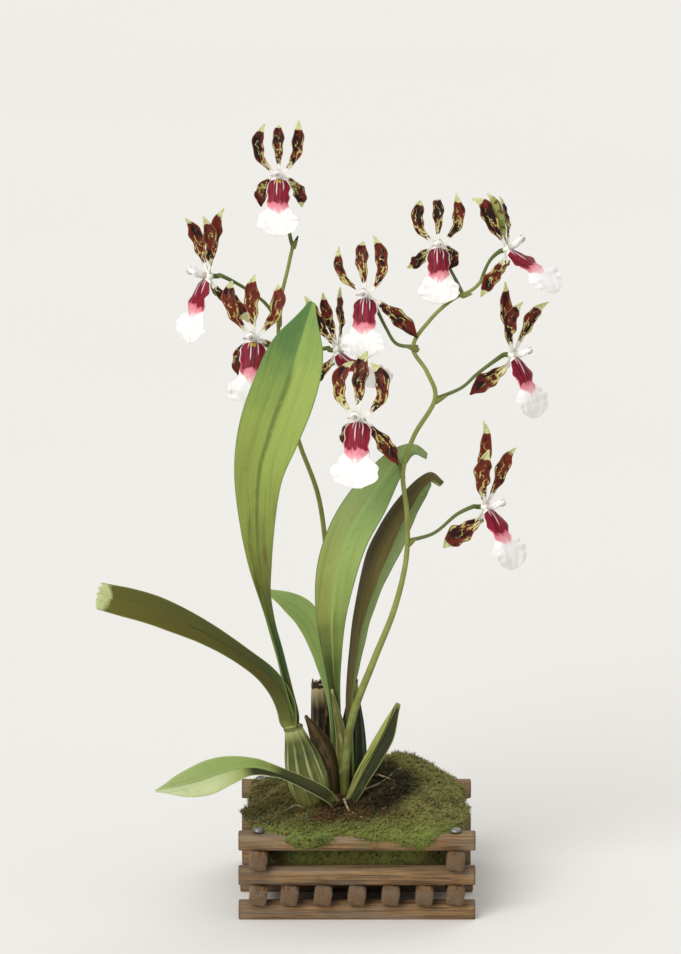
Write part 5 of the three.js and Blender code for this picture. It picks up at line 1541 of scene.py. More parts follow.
LIP_CUPS = [-0.3, -0.34, -0.3, -0.22, -0.1, 0.06, 0.1]
COLUMN_PATH = Heading(clocks=(0, 0), leans=(84, 74, 56))
COLUMN_RADII = [2.1, 1.9, 2.2, 2.7, 2.8, 1.5]

# For each flower: how red its upper and its lower petals are, how heavily they are marked and
# which of its two lower petals have no green tip
TONES = [
    (0.2, 0.0, 0.85, (4,)),
    (0.3, 0.1, 0.8, ()),
    (0.5, 0.3, 0.9, (3,)),
    (0.35, 0.2, 1.0, (3,)),
    (0.2, 0.2, 1.0, (3, 4)),
    (0.3, 0.2, 1.0, (3, 4)),
    (0.15, 0.0, 1.0, (3,)),
    (0.2, 0.4, 1.0, ()),
    (0.3, 0.1, 1.0, (3, 4)),
    (0.5, 0.2, 1.0, ()),
]

# The flowers that show a yellow spot at the top of their lip
YELLOW_CALLUS = (0, 2)

STOCK_ROUTES = [
    [[-27, -21, 52], [-16, -17, 53], [-7, -12, 52], [3, -13, 51]],
    [[-19, 13, 52], [-10, 11, 53], [-5, 3, 53], [-7, -12, 52]],
]
ROOT_ROUTES = [
    [[-20, -18, 50], [-28, -30, 42], [-40, -36, 32]],
    [[-2, -12, 49], [14, -20, 41], [30, -34, 33]],
    [[-14, 12, 50], [-24, 26, 42], [-36, 38, 33]],
]
STOCK_SWELL = [0.74, 1, 0.9, 1, 0.7]
STOCK_KNOTS = (0.2, 0.45, 0.7)
ROOT_TAPER = [1, 0.95, 0.8]
FINE_ROOT_RADII = [0.75, 0.65, 0.6, 0.5, 0.35]
# Pale fine roots on the moss, as columns and rows of the picture
FINE_ROOTS = [
    [[352, 786], [366, 779], [378, 776], [394, 781]],
    [[360, 792], [380, 784], [392, 775], [402, 768]],
    [[318, 800], [305, 808], [296, 806], [284, 812]],
    [[344, 800], [350, 812], [362, 818]],
]


# Sub-assemblies


@dataclass
class Envelope:
    """The part's box in metres, which no piece leaves."""

    low: Array = field(default_factory=lambda: np.full(3, -1.0))
    high: Array = field(default_factory=lambda: np.full(3, 1.0))

    def keep(self, piece: Object) -> None:
        """Bring the points of a piece that stand out back to the box."""
        place = np.zeros(len(piece.data.vertices) * 3)
        piece.data.vertices.foreach_get("co", place)
        place = np.clip(place.reshape(-1, 3), self.low, self.high)
        piece.data.vertices.foreach_set("co", place.ravel())
        piece.data.update()


ENVELOPE = Envelope()


def finish_piece(piece: Object, slot: str, *nodes: str) -> None:
    """Set a piece on the part's body, in place of CAD nodes.

    Args:
        piece: The piece.
        slot: Not used.
        *nodes: The nodes that it stands for.
    """
    ENVELOPE.keep(piece)
    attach(piece, BODY)
    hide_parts(*nodes)
    piece.data.calc_loop_triangles()
    log.info("%s: %d triangles", piece.name, len(piece.data.loop_triangles))


@dataclass(frozen=True)
class Basket:
    """The square basket of slats, laid crosswise and pinned at the corners. Sizes in mm."""

    length: float = 130.0
    width: float = 10.0
    height: float = 9.5
    gap: float = 0.3
    overhang: float = 6.0
    courses: int = 5
    floor_slats: int = 5
    floor_pitch: float = 18.5
    pin_radius: float = 1.5
    head_radius: float = 3.2
    head_height: float = 2.4
    head_edge: float = 0.3
    washer: float = 0.7
    slat_grid: tuple[int, int] = (40, 20)
    slat_edges: tuple[float, float] = (0.4, 1.1)  # from a slat's end to its first and its full ring
    slat_ends: tuple[float, float] = (0.9, 0.97)  # shares of the full size
    slat_squareness: float = 7.0
    planed: float = 0.12  # taken off each face, so that worn wood stays inside the CAD slat

    @property
    def pitch(self) -> float:
        """Return the height from one course to the next."""
        return self.height + self.gap

    @property
    def rim(self) -> float:
        """Return the height of the basket's rim."""
        return self.courses * self.pitch - self.gap

    @property
    def wall(self) -> float:
        """Return the distance from the middle to a wall's centre line."""
        return self.length / 2 - self.overhang - self.width / 2

    @property
    def floor_top(self) -> float:
        """Return the height of the floor slats' upper face."""
        return self.pitch + self.height

    def slat(self) -> Object:
        """Make one slat along X round the origin: planed, with rounded edges and sawn ends."""
        form = Form("slat")
        (rings, sides), (edge, corner), far = self.slat_grid, self.slat_edges, self.length
        size = squared((np.arange(sides) + 0.5) / sides * TAU, self.slat_squareness)
        x = np.linspace(corner, far - corner, rings - 4)
        x = np.concatenate([[0, edge], x, [far - edge, far]]) - far / 2
        ends = list(self.slat_ends)
        ease = np.array(ends + [1.0] * (rings - 4) + ends[::-1])[:, None]
        zero = np.zeros(rings)
        frames = straight(np.stack([x, zero, zero], -1), (1.0, 0.0, 0.0), (0.0, 0.0, 1.0))
        half_width, half_height = self.width / 2 - self.planed, self.height / 2 - self.planed
        form.add_tube(frames, size * half_width * ease, size * half_height * ease)
        form.values["flow"] = [np.concatenate(form.points)]
        return form.made()

    def recipe(self) -> Recipe:
        """Return the tree that lays a slat at each point and weathers it."""
        recipe = Recipe("slats")
        slat = recipe.knob("Slat", "NodeSocketObject")
        wear = recipe.knob("Wear", "NodeSocketFloat", 0.2 * MM)
        grain = recipe.knob("Grain", "NodeSocketFloat", 160.0)
        shape = recipe.node("ObjectInfo", {"Object": slat}).outputs["Geometry"]
        turn = recipe.node("FunctionNodeEulerToRotation", {0: recipe.named("turn", "FLOAT_VECTOR")}).outputs[0]
        placed = {0: recipe.geometry(), "Instance": shape, "Rotation": turn}
        laid = recipe.node("InstanceOnPoints", placed)
        real = recipe.node("RealizeInstances", {0: laid.outputs[0]})
        lumps = recipe.node("ShaderNodeTexNoise", {"Scale": grain, "Detail": 2.0})
        level = recipe.node("ShaderNodeMath", {0: lumps.outputs[0], 1: 1.0}, operation="SUBTRACT")
        depth = recipe.node("ShaderNodeMath", {0: level.outputs[0], 1: wear}, operation="MULTIPLY")
        normal = recipe.node("InputNormal").outputs[0]
        shift = recipe.node("ShaderNodeVectorMath", {0: normal, "Scale": depth.outputs[0]}, operation="SCALE")
        worn = recipe.node("SetPosition", {0: real.outputs[0], "Offset": shift.outputs[0]})
        recipe.end(recipe.node("SetShadeSmooth", {0: worn.outputs[0]}).outputs[0])
        return recipe

    def layout(self) -> dict[str, list[tuple[str, tuple[float, float, float], bool]]]:
        """Return each group of slats: their nodes, their middles and whether they run along X."""
        walls: list = []
        for course in range(self.courses):
            height = course * self.pitch + self.height / 2
            for wall, sign in zip(("front", "back") if course % 2 == 0 else ("left", "right"), (-1, 1)):
                along = course % 2 == 0
                middle = (0, sign * self.wall, height) if along else (sign * self.wall, 0, height)
                walls.append((f"basket_slat_{wall}_{course + 1}", middle, along))
        floor: list = [("basket_bearer", (0, 0, self.height / 2), True)]
        for i in range(self.floor_slats):
            x = (i - (self.floor_slats - 1) / 2) * self.floor_pitch
            floor.append((f"basket_floor_slat_{i + 1}", (x, 0, self.pitch + self.height / 2), False))
        return {"basket_walls": walls, "basket_floor": floor}

    def pin(self) -> Object:
        """Make one pin round the Z axis: a straight rod with a domed head."""
        form = Form("pin")
        neck, radius = self.rim + self.gap, self.head_radius
        profile = [(self.pin_radius, 1.0), (self.pin_radius, neck - 0.01), (radius - self.head_edge, neck)]
        profile.append((radius, neck + self.head_edge))
        for a in np.linspace(0, math.pi / 2 * 0.94, 7):
            rise = (self.head_height - self.washer) * math.sin(a)
            profile.append((radius * math.cos(a), neck + self.washer + rise))
        radius, z = np.array(profile).T
        zero = np.zeros(len(z))
        frames = straight(np.stack([zero, zero, z], -1), (0.0, 0.0, 1.0), (0.0, -1.0, 0.0))
        wide = radius[:, None] + np.zeros(20)
        form.add_tube(frames, wide, wide)
        return form.made()

    def build(self) -> None:
        """Make the slats and the pins."""
        wood, wire = WoodFinish().material(), WireFinish().material()
        recipe, slat = self.recipe(), self.slat()
        for name, slats in self.layout().items():
            middles = np.array([middle for _, middle, _ in slats], float)
            turns = np.array([(0, 0, 0 if along else math.pi / 2) for _, _, along in slats])
            seeds = np.array([sum(map(ord, node)) % 97 * 1.37 for node, _, _ in slats])
            guide = guide_mesh(name + "_points", middles, turn=turns, seed=seeds)
            piece = recipe.serve(guide, name, slat=slat, material=wood)
            finish_piece(piece, "basket_wood", *(node for node, _, _ in slats))
        corners = [(x, y, 0.0) for x in (-self.wall, self.wall) for y in (-self.wall, self.wall)]
        guide = guide_mesh("pin_points", corners, turn=np.zeros((4, 3)), seed=np.arange(4.0))
        pin = self.pin()
        pins = recipe.serve(guide, "basket_pins", slat=pin, wear=0.0, material=wire)
        finish_piece(pins, "basket_wire", *(f"basket_pin_{i + 1}" for i in range(4)))
        for prototype in (slat, pin):
            bpy.data.objects.remove(prototype)


@dataclass(frozen=True)
class Stock:
    """The creeping rhizome that joins the bulbs, with thick roots. Sizes in mm."""

    radius: float = 6.2
    root_radius: float = 1.5

    def build(self) -> None:
        """Make the stock and its roots."""
        strands = Strands()
        upwards = [[0, 0, 1], [0, 0, 1]]
        for route in STOCK_ROUTES:
            spine = RouteSpine(np.array(route, float), upwards)
            strands.add(spine, [r * self.radius for r in STOCK_SWELL], 0.0, STOCK_KNOTS)
        for route in ROOT_ROUTES:
            spine = RouteSpine(np.array(route, float), upwards)
            strands.add(spine, [r * self.root_radius for r in ROOT_TAPER], 1.0)
        finish_piece(strands.made("rhizome_and_roots", RootFinish().material(), 16), "rhizome", "rhizome")


@dataclass(frozen=True)
class Bulb:
    """A pseudobulb between its foot and its top. Half widths in mm, its outline in shares of them."""

    name: str
    foot: Sequence[float]
    top: Sequence[float]
    half: Sequence[float]
    outline: Sequence[float]
    finish: BulbFinish
    ribs: int = 10
    rib_depth: float = 0.055
    rings: int = 56
    sides_per_rib: int = 12
    flaps: int = 9
    stump: bool = False

    def frames(self, s: Array) -> Frames:
        """Return the frames along the bulb."""
        route = PICTURE.route([self.foot, self.top])
        return RouteSpine(route, [[0, -1, 0], [0, -1, 0]])(s)

    def recipe(self) -> Recipe:
        """Return the tree that raises the ribs from the crests of the plain oval."""
        recipe = Recipe("ribs")
        depth = recipe.knob("Depth", "NodeSocketFloat", 0.4 * MM)
        crest = recipe.node("ShaderNodeSeparateXYZ", {0: recipe.named("tint", "FLOAT_VECTOR")}).outputs[0]
        height = recipe.node("ShaderNodeMath", {0: crest, 1: depth}, operation="MULTIPLY").outputs[0]
        normal = recipe.node("InputNormal").outputs[0]
        shift = recipe.node("ShaderNodeVectorMath", {0: normal, "Scale": height}, operation="SCALE")
        raised = recipe.node("SetPosition", {0: recipe.geometry(), "Offset": shift.outputs[0]})
        recipe.end(raised.outputs[0])
        return recipe

    def build(self) -> None:
        """Make the bulb and what crowns it."""
        form = Form(self.name)
        sides = self.sides_per_rib * self.ribs
        s = np.linspace(0, 1, self.rings + 1)
        frames = self.frames(s)
        angle = turns(sides)
        size = spread(self.outline, s)[:, None] + np.zeros(sides)
        bow = np.sin(math.pi * np.clip(s, 0.02, 1))[:, None]
        crest = np.cos(self.ribs * angle + 0.5 * np.sin(3 * s * math.pi)[:, None])
        sharp = np.sign(crest) * np.abs(crest) ** 0.8 * np.sqrt(np.maximum(bow, 0))
        tint = np.stack([sharp, 0 * sharp, 0 * sharp], axis=-1)
        wobble = 1 + 0.02 * np.sin(2 * angle + 4 * s[:, None])
        ends = np.ones((self.rings + 1, 1))
        ends[-1], ends[-2] = 0.72, 0.93
        wide, deep = (size * wobble * half * ends for half in self.half)
        form.add_tube(frames, wide, deep, tint=tint)
        if self.stump:
            self.add_torn_rim(form)
        else:
            self.add_collar(form)
        depth = self.rib_depth * (self.half[0] + self.half[1]) / 2 * MM
        material = self.finish.material()
        piece = self.recipe().serve(form.made(), self.name + "_ribbed", depth=depth, material=material)
        finish_piece(piece, "pseudobulb", self.name)

    def add_collar(self, form: Form) -> None:
        """Add the old leaf base that caps the bulb."""
        route = PICTURE.route([self.foot, self.top])
        ahead = unit(route[1] - route[0])
        ends = np.array([route[1] - ahead * 1.4, route[1] + ahead * 1.0])
        spine, s = RouteSpine(ends, [[0, -1, 0], [0, -1, 0]]), np.linspace(0, 1, 10)
        radii = spread([0.96, 1.02, 0.98, 0.8], s)[:, None] + np.zeros(24)
        top = self.outline[-1] * 1.12
        wide, deep = (radii * half * top for half in self.half)
        form.add_tube(spine(s), wide, deep, kind=1.0)

    def add_torn_rim(self, form: Form) -> None:
        """Add the torn papery flaps round the cut top of an old bulb."""
        route = PICTURE.route([self.foot, self.top])
        ahead = unit(route[1] - route[0])
        side = unit(np.cross(ahead, [0, -1.0, 0]))
        face = np.cross(side, ahead)
        for i in range(self.flaps):
            turn = i / self.flaps * TAU
            out = side * math.cos(turn) * self.half[0] + face * math.sin(turn) * self.half[1]
            tall = 2.2 + 1.3 * math.sin(i * 2.7)
            start = route[1] + out * self.outline[-1] * 0.9 - ahead * 3
            end = start + ahead * (3 + tall) + unit(out) * 0.5 * math.sin(i * 1.9)
            spine = RouteSpine(np.array([start, (start + end) / 2, end]), [-unit(out), -unit(out)])
            blade = Blade([2.0, 1.9, 1.1], 0.3, cups=(0.1, 0.1), torn=0.6, seed=i * 1.3)
            blade.add_to(form, spine, 6, 8)


OVAL = [0.62, 0.92, 1, 0.93, 0.74, 0.46, 0.26]
STUMP = [0.7, 0.95, 1, 0.96, 0.9, 0.84, 0.8]
BULBS = (
    Bulb(name="pseudobulb_front", foot=(316, 808, -19), top=(293, 727, -20), half=(10.6, 8.5),
        outline=[0.62, 0.92, 1, 0.95, 0.82, 0.62, 0.46], finish=BulbFinish("bulb_green", "#959650",
        "#434f24", "#b9be84", "#a8ac6c")),
    Bulb(name="pseudobulb_centre", foot=(351, 808, 8), top=(354, 680, 8), half=(7.8, 6.5), outline=OVAL,
        finish=BulbFinish("bulb_dark", "#2f3d1a", "#1a2410", "#4f6130", "#9aa560")),
    Bulb(name="pseudobulb_back", foot=(324, 806, 14), top=(320, 685, 15), half=(6.2, 6.0), outline=STUMP,
        finish=BulbFinish("bulb_old", "#4f3a1c", "#251b0d", "#8c7446", "#b7a878", husk=0.16), stump=True),
)

# Each leaf's left and right ramps hold painted light and shade on the two halves of its fold, as well as its
# own colours. The dark rib colours are painted shade in the crease.
LEAF_FINISHES = {
    "leaf_tall": LeafFinish("leaf_tall", left=((0.0, "#6c7d38"), (0.2, "#88a050"), (0.34, "#737c33"), (0.48,
        "#8f9c48"), (0.72, "#98a851"), (0.83, "#7b964b"), (0.92, "#5a7d42")), right=((0.0, "#33431d"), (0.2,
        "#2c461e"), (0.32, "#5c6228"), (0.48, "#7d8a3e"), (0.62, "#93a34d"), (0.85, "#98aa55"), (0.98,
        "#7a9a4c")), under="#5d7434", rib="#4f6426", margin="#5c8440", rib_width=0.07, rib_span=(0.45,
        0.82), brown=0.6),
    "leaf_arching": LeafFinish("leaf_arching", left=((0.0, "#8a8c48"), (0.05, "#63672a"), (0.2, "#4d4b19"),
        (0.7, "#57531a"), (0.965, "#605d20"), (0.978, "#b9c184")), right=((0.0, "#7f843f"), (0.06,
        "#4c5522"), (0.3, "#39451a"), (0.6, "#4a4c19"), (0.958, "#5a581c"), (0.971, "#bcc48a")),
        under="#4d5526", rib="#232c0e", margin="#83884a", rib_width=0.05, rib_span=(0.06, 0.6), brown=0.3),
    "leaf_low": LeafFinish("leaf_low", left=((0.0, "#8a9455"), (0.1, "#3a391b"), (0.5, "#32331a"), (0.57,
        "#92a05c"), (0.7, "#b4bf88"), (1.0, "#c4ce9c")), right=((0.0, "#7c8a48"), (0.1, "#3c3d1c"), (0.34,
        "#3a4019"), (0.43, "#879c52"), (0.8, "#98aa66"), (1.0, "#a2b072")), under="#37401b", rib="#6d8746",
        margin="#b0ba82", brown=0.3),
    "leaf_behind": LeafFinish("leaf_behind", left=((0.0, "#5a6a34"), (0.4, "#7d9450"), (0.7, "#8fa65a"),
        (1.0, "#8fa860")), right=((0.0, "#4e5f2c"), (0.4, "#7a924c"), (0.7, "#93aa5e"), (1.0, "#93ab62")),
        under="#6f8a48", rib="#77703a", margin="#b0bf80", rib_strength=0.5, brown=0.5),
    "leaf_centre": LeafFinish("leaf_centre", left=((0.0, "#33301a"), (0.2, "#3f4a22"), (0.38, "#4f5c2a"),
        (0.5, "#8f9a4b"), (0.62, "#9fab5c"), (0.8, "#93a864"), (1.0, "#88a25e")), right=((0.0, "#2f3018"),
        (0.2, "#46552a"), (0.38, "#5b6e32"), (0.5, "#83964b"), (0.65, "#92a75c"), (0.8, "#86a05a"), (1.0,
        "#7c9a58")), under="#5f8c58", rib="#93ad66", margin="#47683a", rib_width=0.075, brown=0.45),
    "leaf_dark": LeafFinish("leaf_dark", left=((0.0, "#7a8a48"), (0.4, "#96ac6a"), (0.7, "#a3ba7c"), (1.0,
        "#93a864")), right=((0.0, "#7a8a48"), (0.4, "#96ac6a"), (0.7, "#a3ba7c"), (1.0, "#93a864")),
        under="#54461e", rib="#39401a", margin="#6a6a34", stripes=0.2),
}
SHEATH_FINISHES = {
    "sheath_brown": SheathFinish("sheath_brown", "#3f3016", "#4c3c1c", "#1d150b", "#6f5c34"),
    "sheath_pale": SheathFinish("sheath_pale", "#8f9a56", "#66642f", "#4b4a22", "#a8a870"),
    "sheath_shoot": SheathFinish("sheath_shoot", "#a5ab5c", "#262b10", "#2c3214", "#85884a", 0.8, 0.1),
}


@dataclass(frozen=True)
class Foliage:
    """The leaves and the sheaths. Thicknesses in mm."""

    leaf_thickness: float = 1.1
    sheath_thickness: float = 1.2
    columns: int = 26
    row_length: float = 1.6
    least_rows: int = 80
    sheath_grid: tuple[int, int] = (18, 60)
    torn_leaves: tuple[str, ...] = ("leaf_arching",)
    seated_leaves: tuple[str, ...] = ("leaf_arching", "leaf_tall")

    def build(self) -> None:
        """Make every leaf and sheath."""
        for i, strap in enumerate(LEAVES):
            spine = strap.spine()
            blade = Blade(
                strap.widths, self.leaf_thickness, strap.folds, strap.cups, strap.wave, frill=0.12,
                frills=11, keel=0.35, torn=1.4 if strap.name in self.torn_leaves else 0.0, seed=i * 3.7,
                thin_edge=0.7, round_foot=0.05 if strap.name in self.seated_leaves else 0.0,
            )
            form = Form(strap.name + "_blade")
            rows = max(self.least_rows, round(spine.length / self.row_length))
            blade.add_to(form, spine, self.columns, rows)
            finish_piece(form.made(LEAF_FINISHES[strap.name].material()), "leaf", strap.name)
        for i, strap in enumerate(SHEATHS):
            spine = strap.spine()
            blade = Blade(
                strap.widths, self.sheath_thickness, strap.folds, strap.cups, strap.wave, frill=0.1,
                keel=0.2, seed=40 + i * 3.1, thin_edge=0.75, scallop=0.03,
            )
            form = Form(strap.name + "_blade")
            blade.add_to(form, spine, *self.sheath_grid)
            finish_piece(form.made(SHEATH_FINISHES[strap.name].material()), "sheath", strap.name)


@dataclass(frozen=True)
class Spikes:
    """The flower spikes: stems, stalks and bracts, wrapped round their routes. Sizes in mm."""

    stalk_radii: Sequence[float] = (1.15, 0.98, 0.9, 0.95, 1.15, 1.4)
    neck: float = 3.0
    bract_radii: Sequence[float] = (1.5, 1.35, 0.9, 0.4)
    turn: Sequence = ((0, -1, 0.2), (0, -1, 0.2))

    def build(self) -> None:
        """Make both spikes."""
        material = StemFinish().material()
        for spike in SPIKES:
            strands = Strands()
            main = RouteSpine(PICTURE.route(spike.route), self.turn)
            strands.add(main, spike.radii, 0.0)
            for number, via in spike.stalks:
                bloom = BLOOMS[number]
                frame = bloom.frame()
                end = Flowers.hub_radius * bloom.size - 0.4
                behind = [frame.centre - frame.front * (end + self.neck), frame.centre - frame.front * end]
                spine = RouteSpine(np.vstack([PICTURE.route(via), behind]), self.turn)
                strands.add(spine, self.stalk_radii, 1.0)
            for ends in spike.bracts:
                strands.add(RouteSpine(PICTURE.route(ends), self.turn), self.bract_radii, 2.0)
            finish_piece(strands.made(spike.name + "_stems", material, 14), "flower_stem", spike.name)


@dataclass(frozen=True)
class Flowers:
    """The ten flowers: petals, columns and lips. Sizes in mm, for a flower of size 1."""

    petal_length: float = 36.0
    petal_half_width: float = 3.6
    petal_thickness: float = 0.8
    petal_root: float = 0.6
    lip_length: float = 37.0
    lip_half_width: float = 13.2
    lip_thickness: float = 0.8
    seat_gap: float = 0.35
    column_length: float = 13.4
    hub_radius: float = 2.6
    petal_grid: tuple[int, int] = (16, 48)
    lip_grid: tuple[int, int] = (40, 72)
    wing_grid: tuple[int, int] = (8, 10)
    hub_grid: tuple[int, int] = (14, 20)
    column_grid: tuple[int, int] = (28, 24)
    cap_grid: tuple[int, int] = (12, 16)

    def add_petals(self, form: Form, bloom: Bloom, number: int) -> None:
        """Add a flower's hub and its five petals."""
        frame, size = bloom.frame(), bloom.size
        tones = TONES[number]
        for i, standard in enumerate(STANDARD):
            heading = replace(standard, **bloom.petals[i])
            length = self.petal_length * heading.length * size
            ahead = HeadingSpine(frame.centre, frame, heading, 1.0)(np.zeros(1)).along[0]
            root = frame.centre + ahead * self.petal_root * self.hub_radius * size
            spine = HeadingSpine(root, frame, heading, length)
            widths = [w * self.petal_half_width * heading.width * size for w in PETAL_OUTLINE]
            seed = number * 5.3 + i * 1.9
            tint = (tones[0] if i < 3 else tones[1], tones[2], -0.5 if i in tones[3] else 0.0)
            blade = Blade(
                widths, self.petal_thickness, PETAL_FOLDS, wave=0.5, waves=2.5, frill=0.22, frills=5.5,
                scallop=0.15, scallops=3.3, crease=0.3, seed=seed, tint=tint,
                relief=lambda a, s: 0.12 * np.sin(s * 40 + a * 3) * np.sin(math.pi * s),
            )
            blade.add_to(form, spine, *self.petal_grid)
        rings, sides = self.hub_grid
        s, radius = np.linspace(0.02, 0.98, rings), self.hub_radius * size
        middle = frame.centre + frame.front * ((2 * s[:, None] - 1) * radius)
        wide = (ball(s) * radius)[:, None] + np.zeros(sides)
        frames = straight(middle, frame.front, frame.up)
        form.add_tube(frames, wide, wide, kind=1.0, tint=(0.0, 0.0, 1.0))

    def add_column(self, form: Form, bloom: Bloom) -> None:
        """Add a flower's column: its hood, its wings and its anther cap."""
        frame, size = bloom.frame(), bloom.size
        spine = HeadingSpine(frame.centre, frame, COLUMN_PATH, self.column_length * size)
        rings, sides = self.column_grid
        s, angle = np.linspace(0, 1, rings), turns(sides)
        radius = spread(COLUMN_RADII, s)[:, None] * size * (1 - 0.5 * bell(s[:, None], 1.0, 0.05))
        hollow = np.maximum(np.sin(angle), 0) ** 2 * bell(s[:, None], 0.82, 0.22)
        wide = radius * (0.94 + 0.22 * bell(s[:, None], 0.72, 0.16) * np.abs(np.cos(angle)) ** 6)
        deep = radius * (0.98 - 0.6 * hollow)
        form.add_tube(spine(s), wide, deep, kind=ColumnPart.HOOD.value, seed=bloom.place[0])
        tip = spine(np.array([0.86]))
        along, face, side, point = tip.along[0], tip.face[0], tip.side[0], tip.point[0]
        rings, sides = self.cap_grid
        t = np.linspace(0.03, 0.97, rings)
        cap = point + along * ((2 * t[:, None] - 1) * 1.9 * size) + face * 1.15 * size
        swell = (ball(t) * 1.55 * size)[:, None] + np.zeros(sides)
        form.add_tube(straight(cap, along, face), swell, swell * 0.85, kind=ColumnPart.ANTHER.value)
        for sign in (-1.0, 1.0):
            root = spine(np.array([0.62])).point[0] + side * sign * 1.2 * size
            out = unit(side * sign + face * 0.35 + along * 0.35)
            points = [root, root + out * 2.2 * size, root + (out * 3.9 + along * 0.8) * size]
            wing = RouteSpine(np.array(points), [face, unit(face + along * 0.4)])
            blade = Blade([w * size for w in (1.5, 1.9, 1.7, 0.7)], 0.45, cups=(0.1, 0.25), frill=0.12)
            blade.add_to(form, wing, *self.wing_grid)
            self.mark(form, ColumnPart.WING)
        foot = spine(np.array([0.8])).point[0] - face * 1.3 * size
        brow = point + (along * 1.6 - face * 2.0) * size
        flap = RouteSpine(np.array([foot, brow, brow + (along * 1.5 + face * 0.4) * size]), [-face, -face])
        blade = Blade([w * size for w in (1.5, 2.0, 1.6, 0.6)], 0.5, cups=(-0.35, -0.35), frill=0.15)
        blade.add_to(form, flap, *self.wing_grid)
        self.mark(form, ColumnPart.WING)

    @staticmethod
    def mark(form: Form, part: ColumnPart) -> None:
        """Number the surface that was added last as a part of the column."""
        form.values["share"][-1] = np.where([True, True, False], form.values["share"][-1], float(part.value))

    def add_lip(self, form: Form, bloom: Bloom, number: int) -> None:
        """Add a flower's lip: a ridged throat that opens to a ruffled lobe."""
        frame, size = bloom.frame(), bloom.size
        leans = bloom.lip_leans or [lean + bloom.lip_lean for lean in LIP_LEANS]
        twists = [bloom.lip_twist * share for share in (0.3, 1, 1, 0.7)]
        heading = Heading(clocks=(180, 180), leans=leans, twists=twists)
        length = self.lip_length * size
        ahead = HeadingSpine(frame.centre, frame, heading, 1.0)(np.zeros(1)).along[0]
        start = frame.centre + ahead * (self.hub_radius * size + self.seat_gap - 1.0)
        spine = HeadingSpine(start, frame, heading, length + 1.0)

        def relief(across: Array, s: Array) -> Array:
            """Return the height of the throat's ridges and of the lobe's shallow pleats."""
            height = 0 * across * s
            for place, reach in LipFinish.ridges:
                height = height + 0.45 * bell(across, place, 0.07) * np.clip((reach - s) / 0.08, 0, 1)
            pleats = 0.35 * np.sin(across * 11 + number) * bell(s, 0.82, 0.14)
            return height + pleats * np.abs(across)

        blade = Blade(
            [w * self.lip_half_width * size for w in LIP_OUTLINE], self.lip_thickness, cups=LIP_CUPS,
            wave=1.1, waves=3, frill=1.0, frills=8.3, frill_from=0.55, scallop=0.07, scallops=5.2,
            seed=number * 2.3, tint=(float(number in YELLOW_CALLUS), 0.0, 0.0), relief=relief, thin_edge=0.7,
        )
        blade.add_to(form, spine, *self.lip_grid)

    def build(self) -> None:
        """Make every flower."""
        petal, lip, column = PetalFinish().material(), LipFinish().material(), ColumnFinish().material()
        for number, bloom in enumerate(BLOOMS):
            node = f"bloom_{number + 1:02d}"
            petals, columns, lips = Form(node + "_tepals"), Form(node + "_column"), Form(node + "_labellum")
            self.add_petals(petals, bloom, number)
            self.add_column(columns, bloom)
            self.add_lip(lips, bloom, number)
            finish_piece(petals.made(petal), "petal", node + "_petals")
            finish_piece(columns.made(column), "lip", node + "_petals")
            finish_piece(lips.made(lip), "lip", node + "_lip")


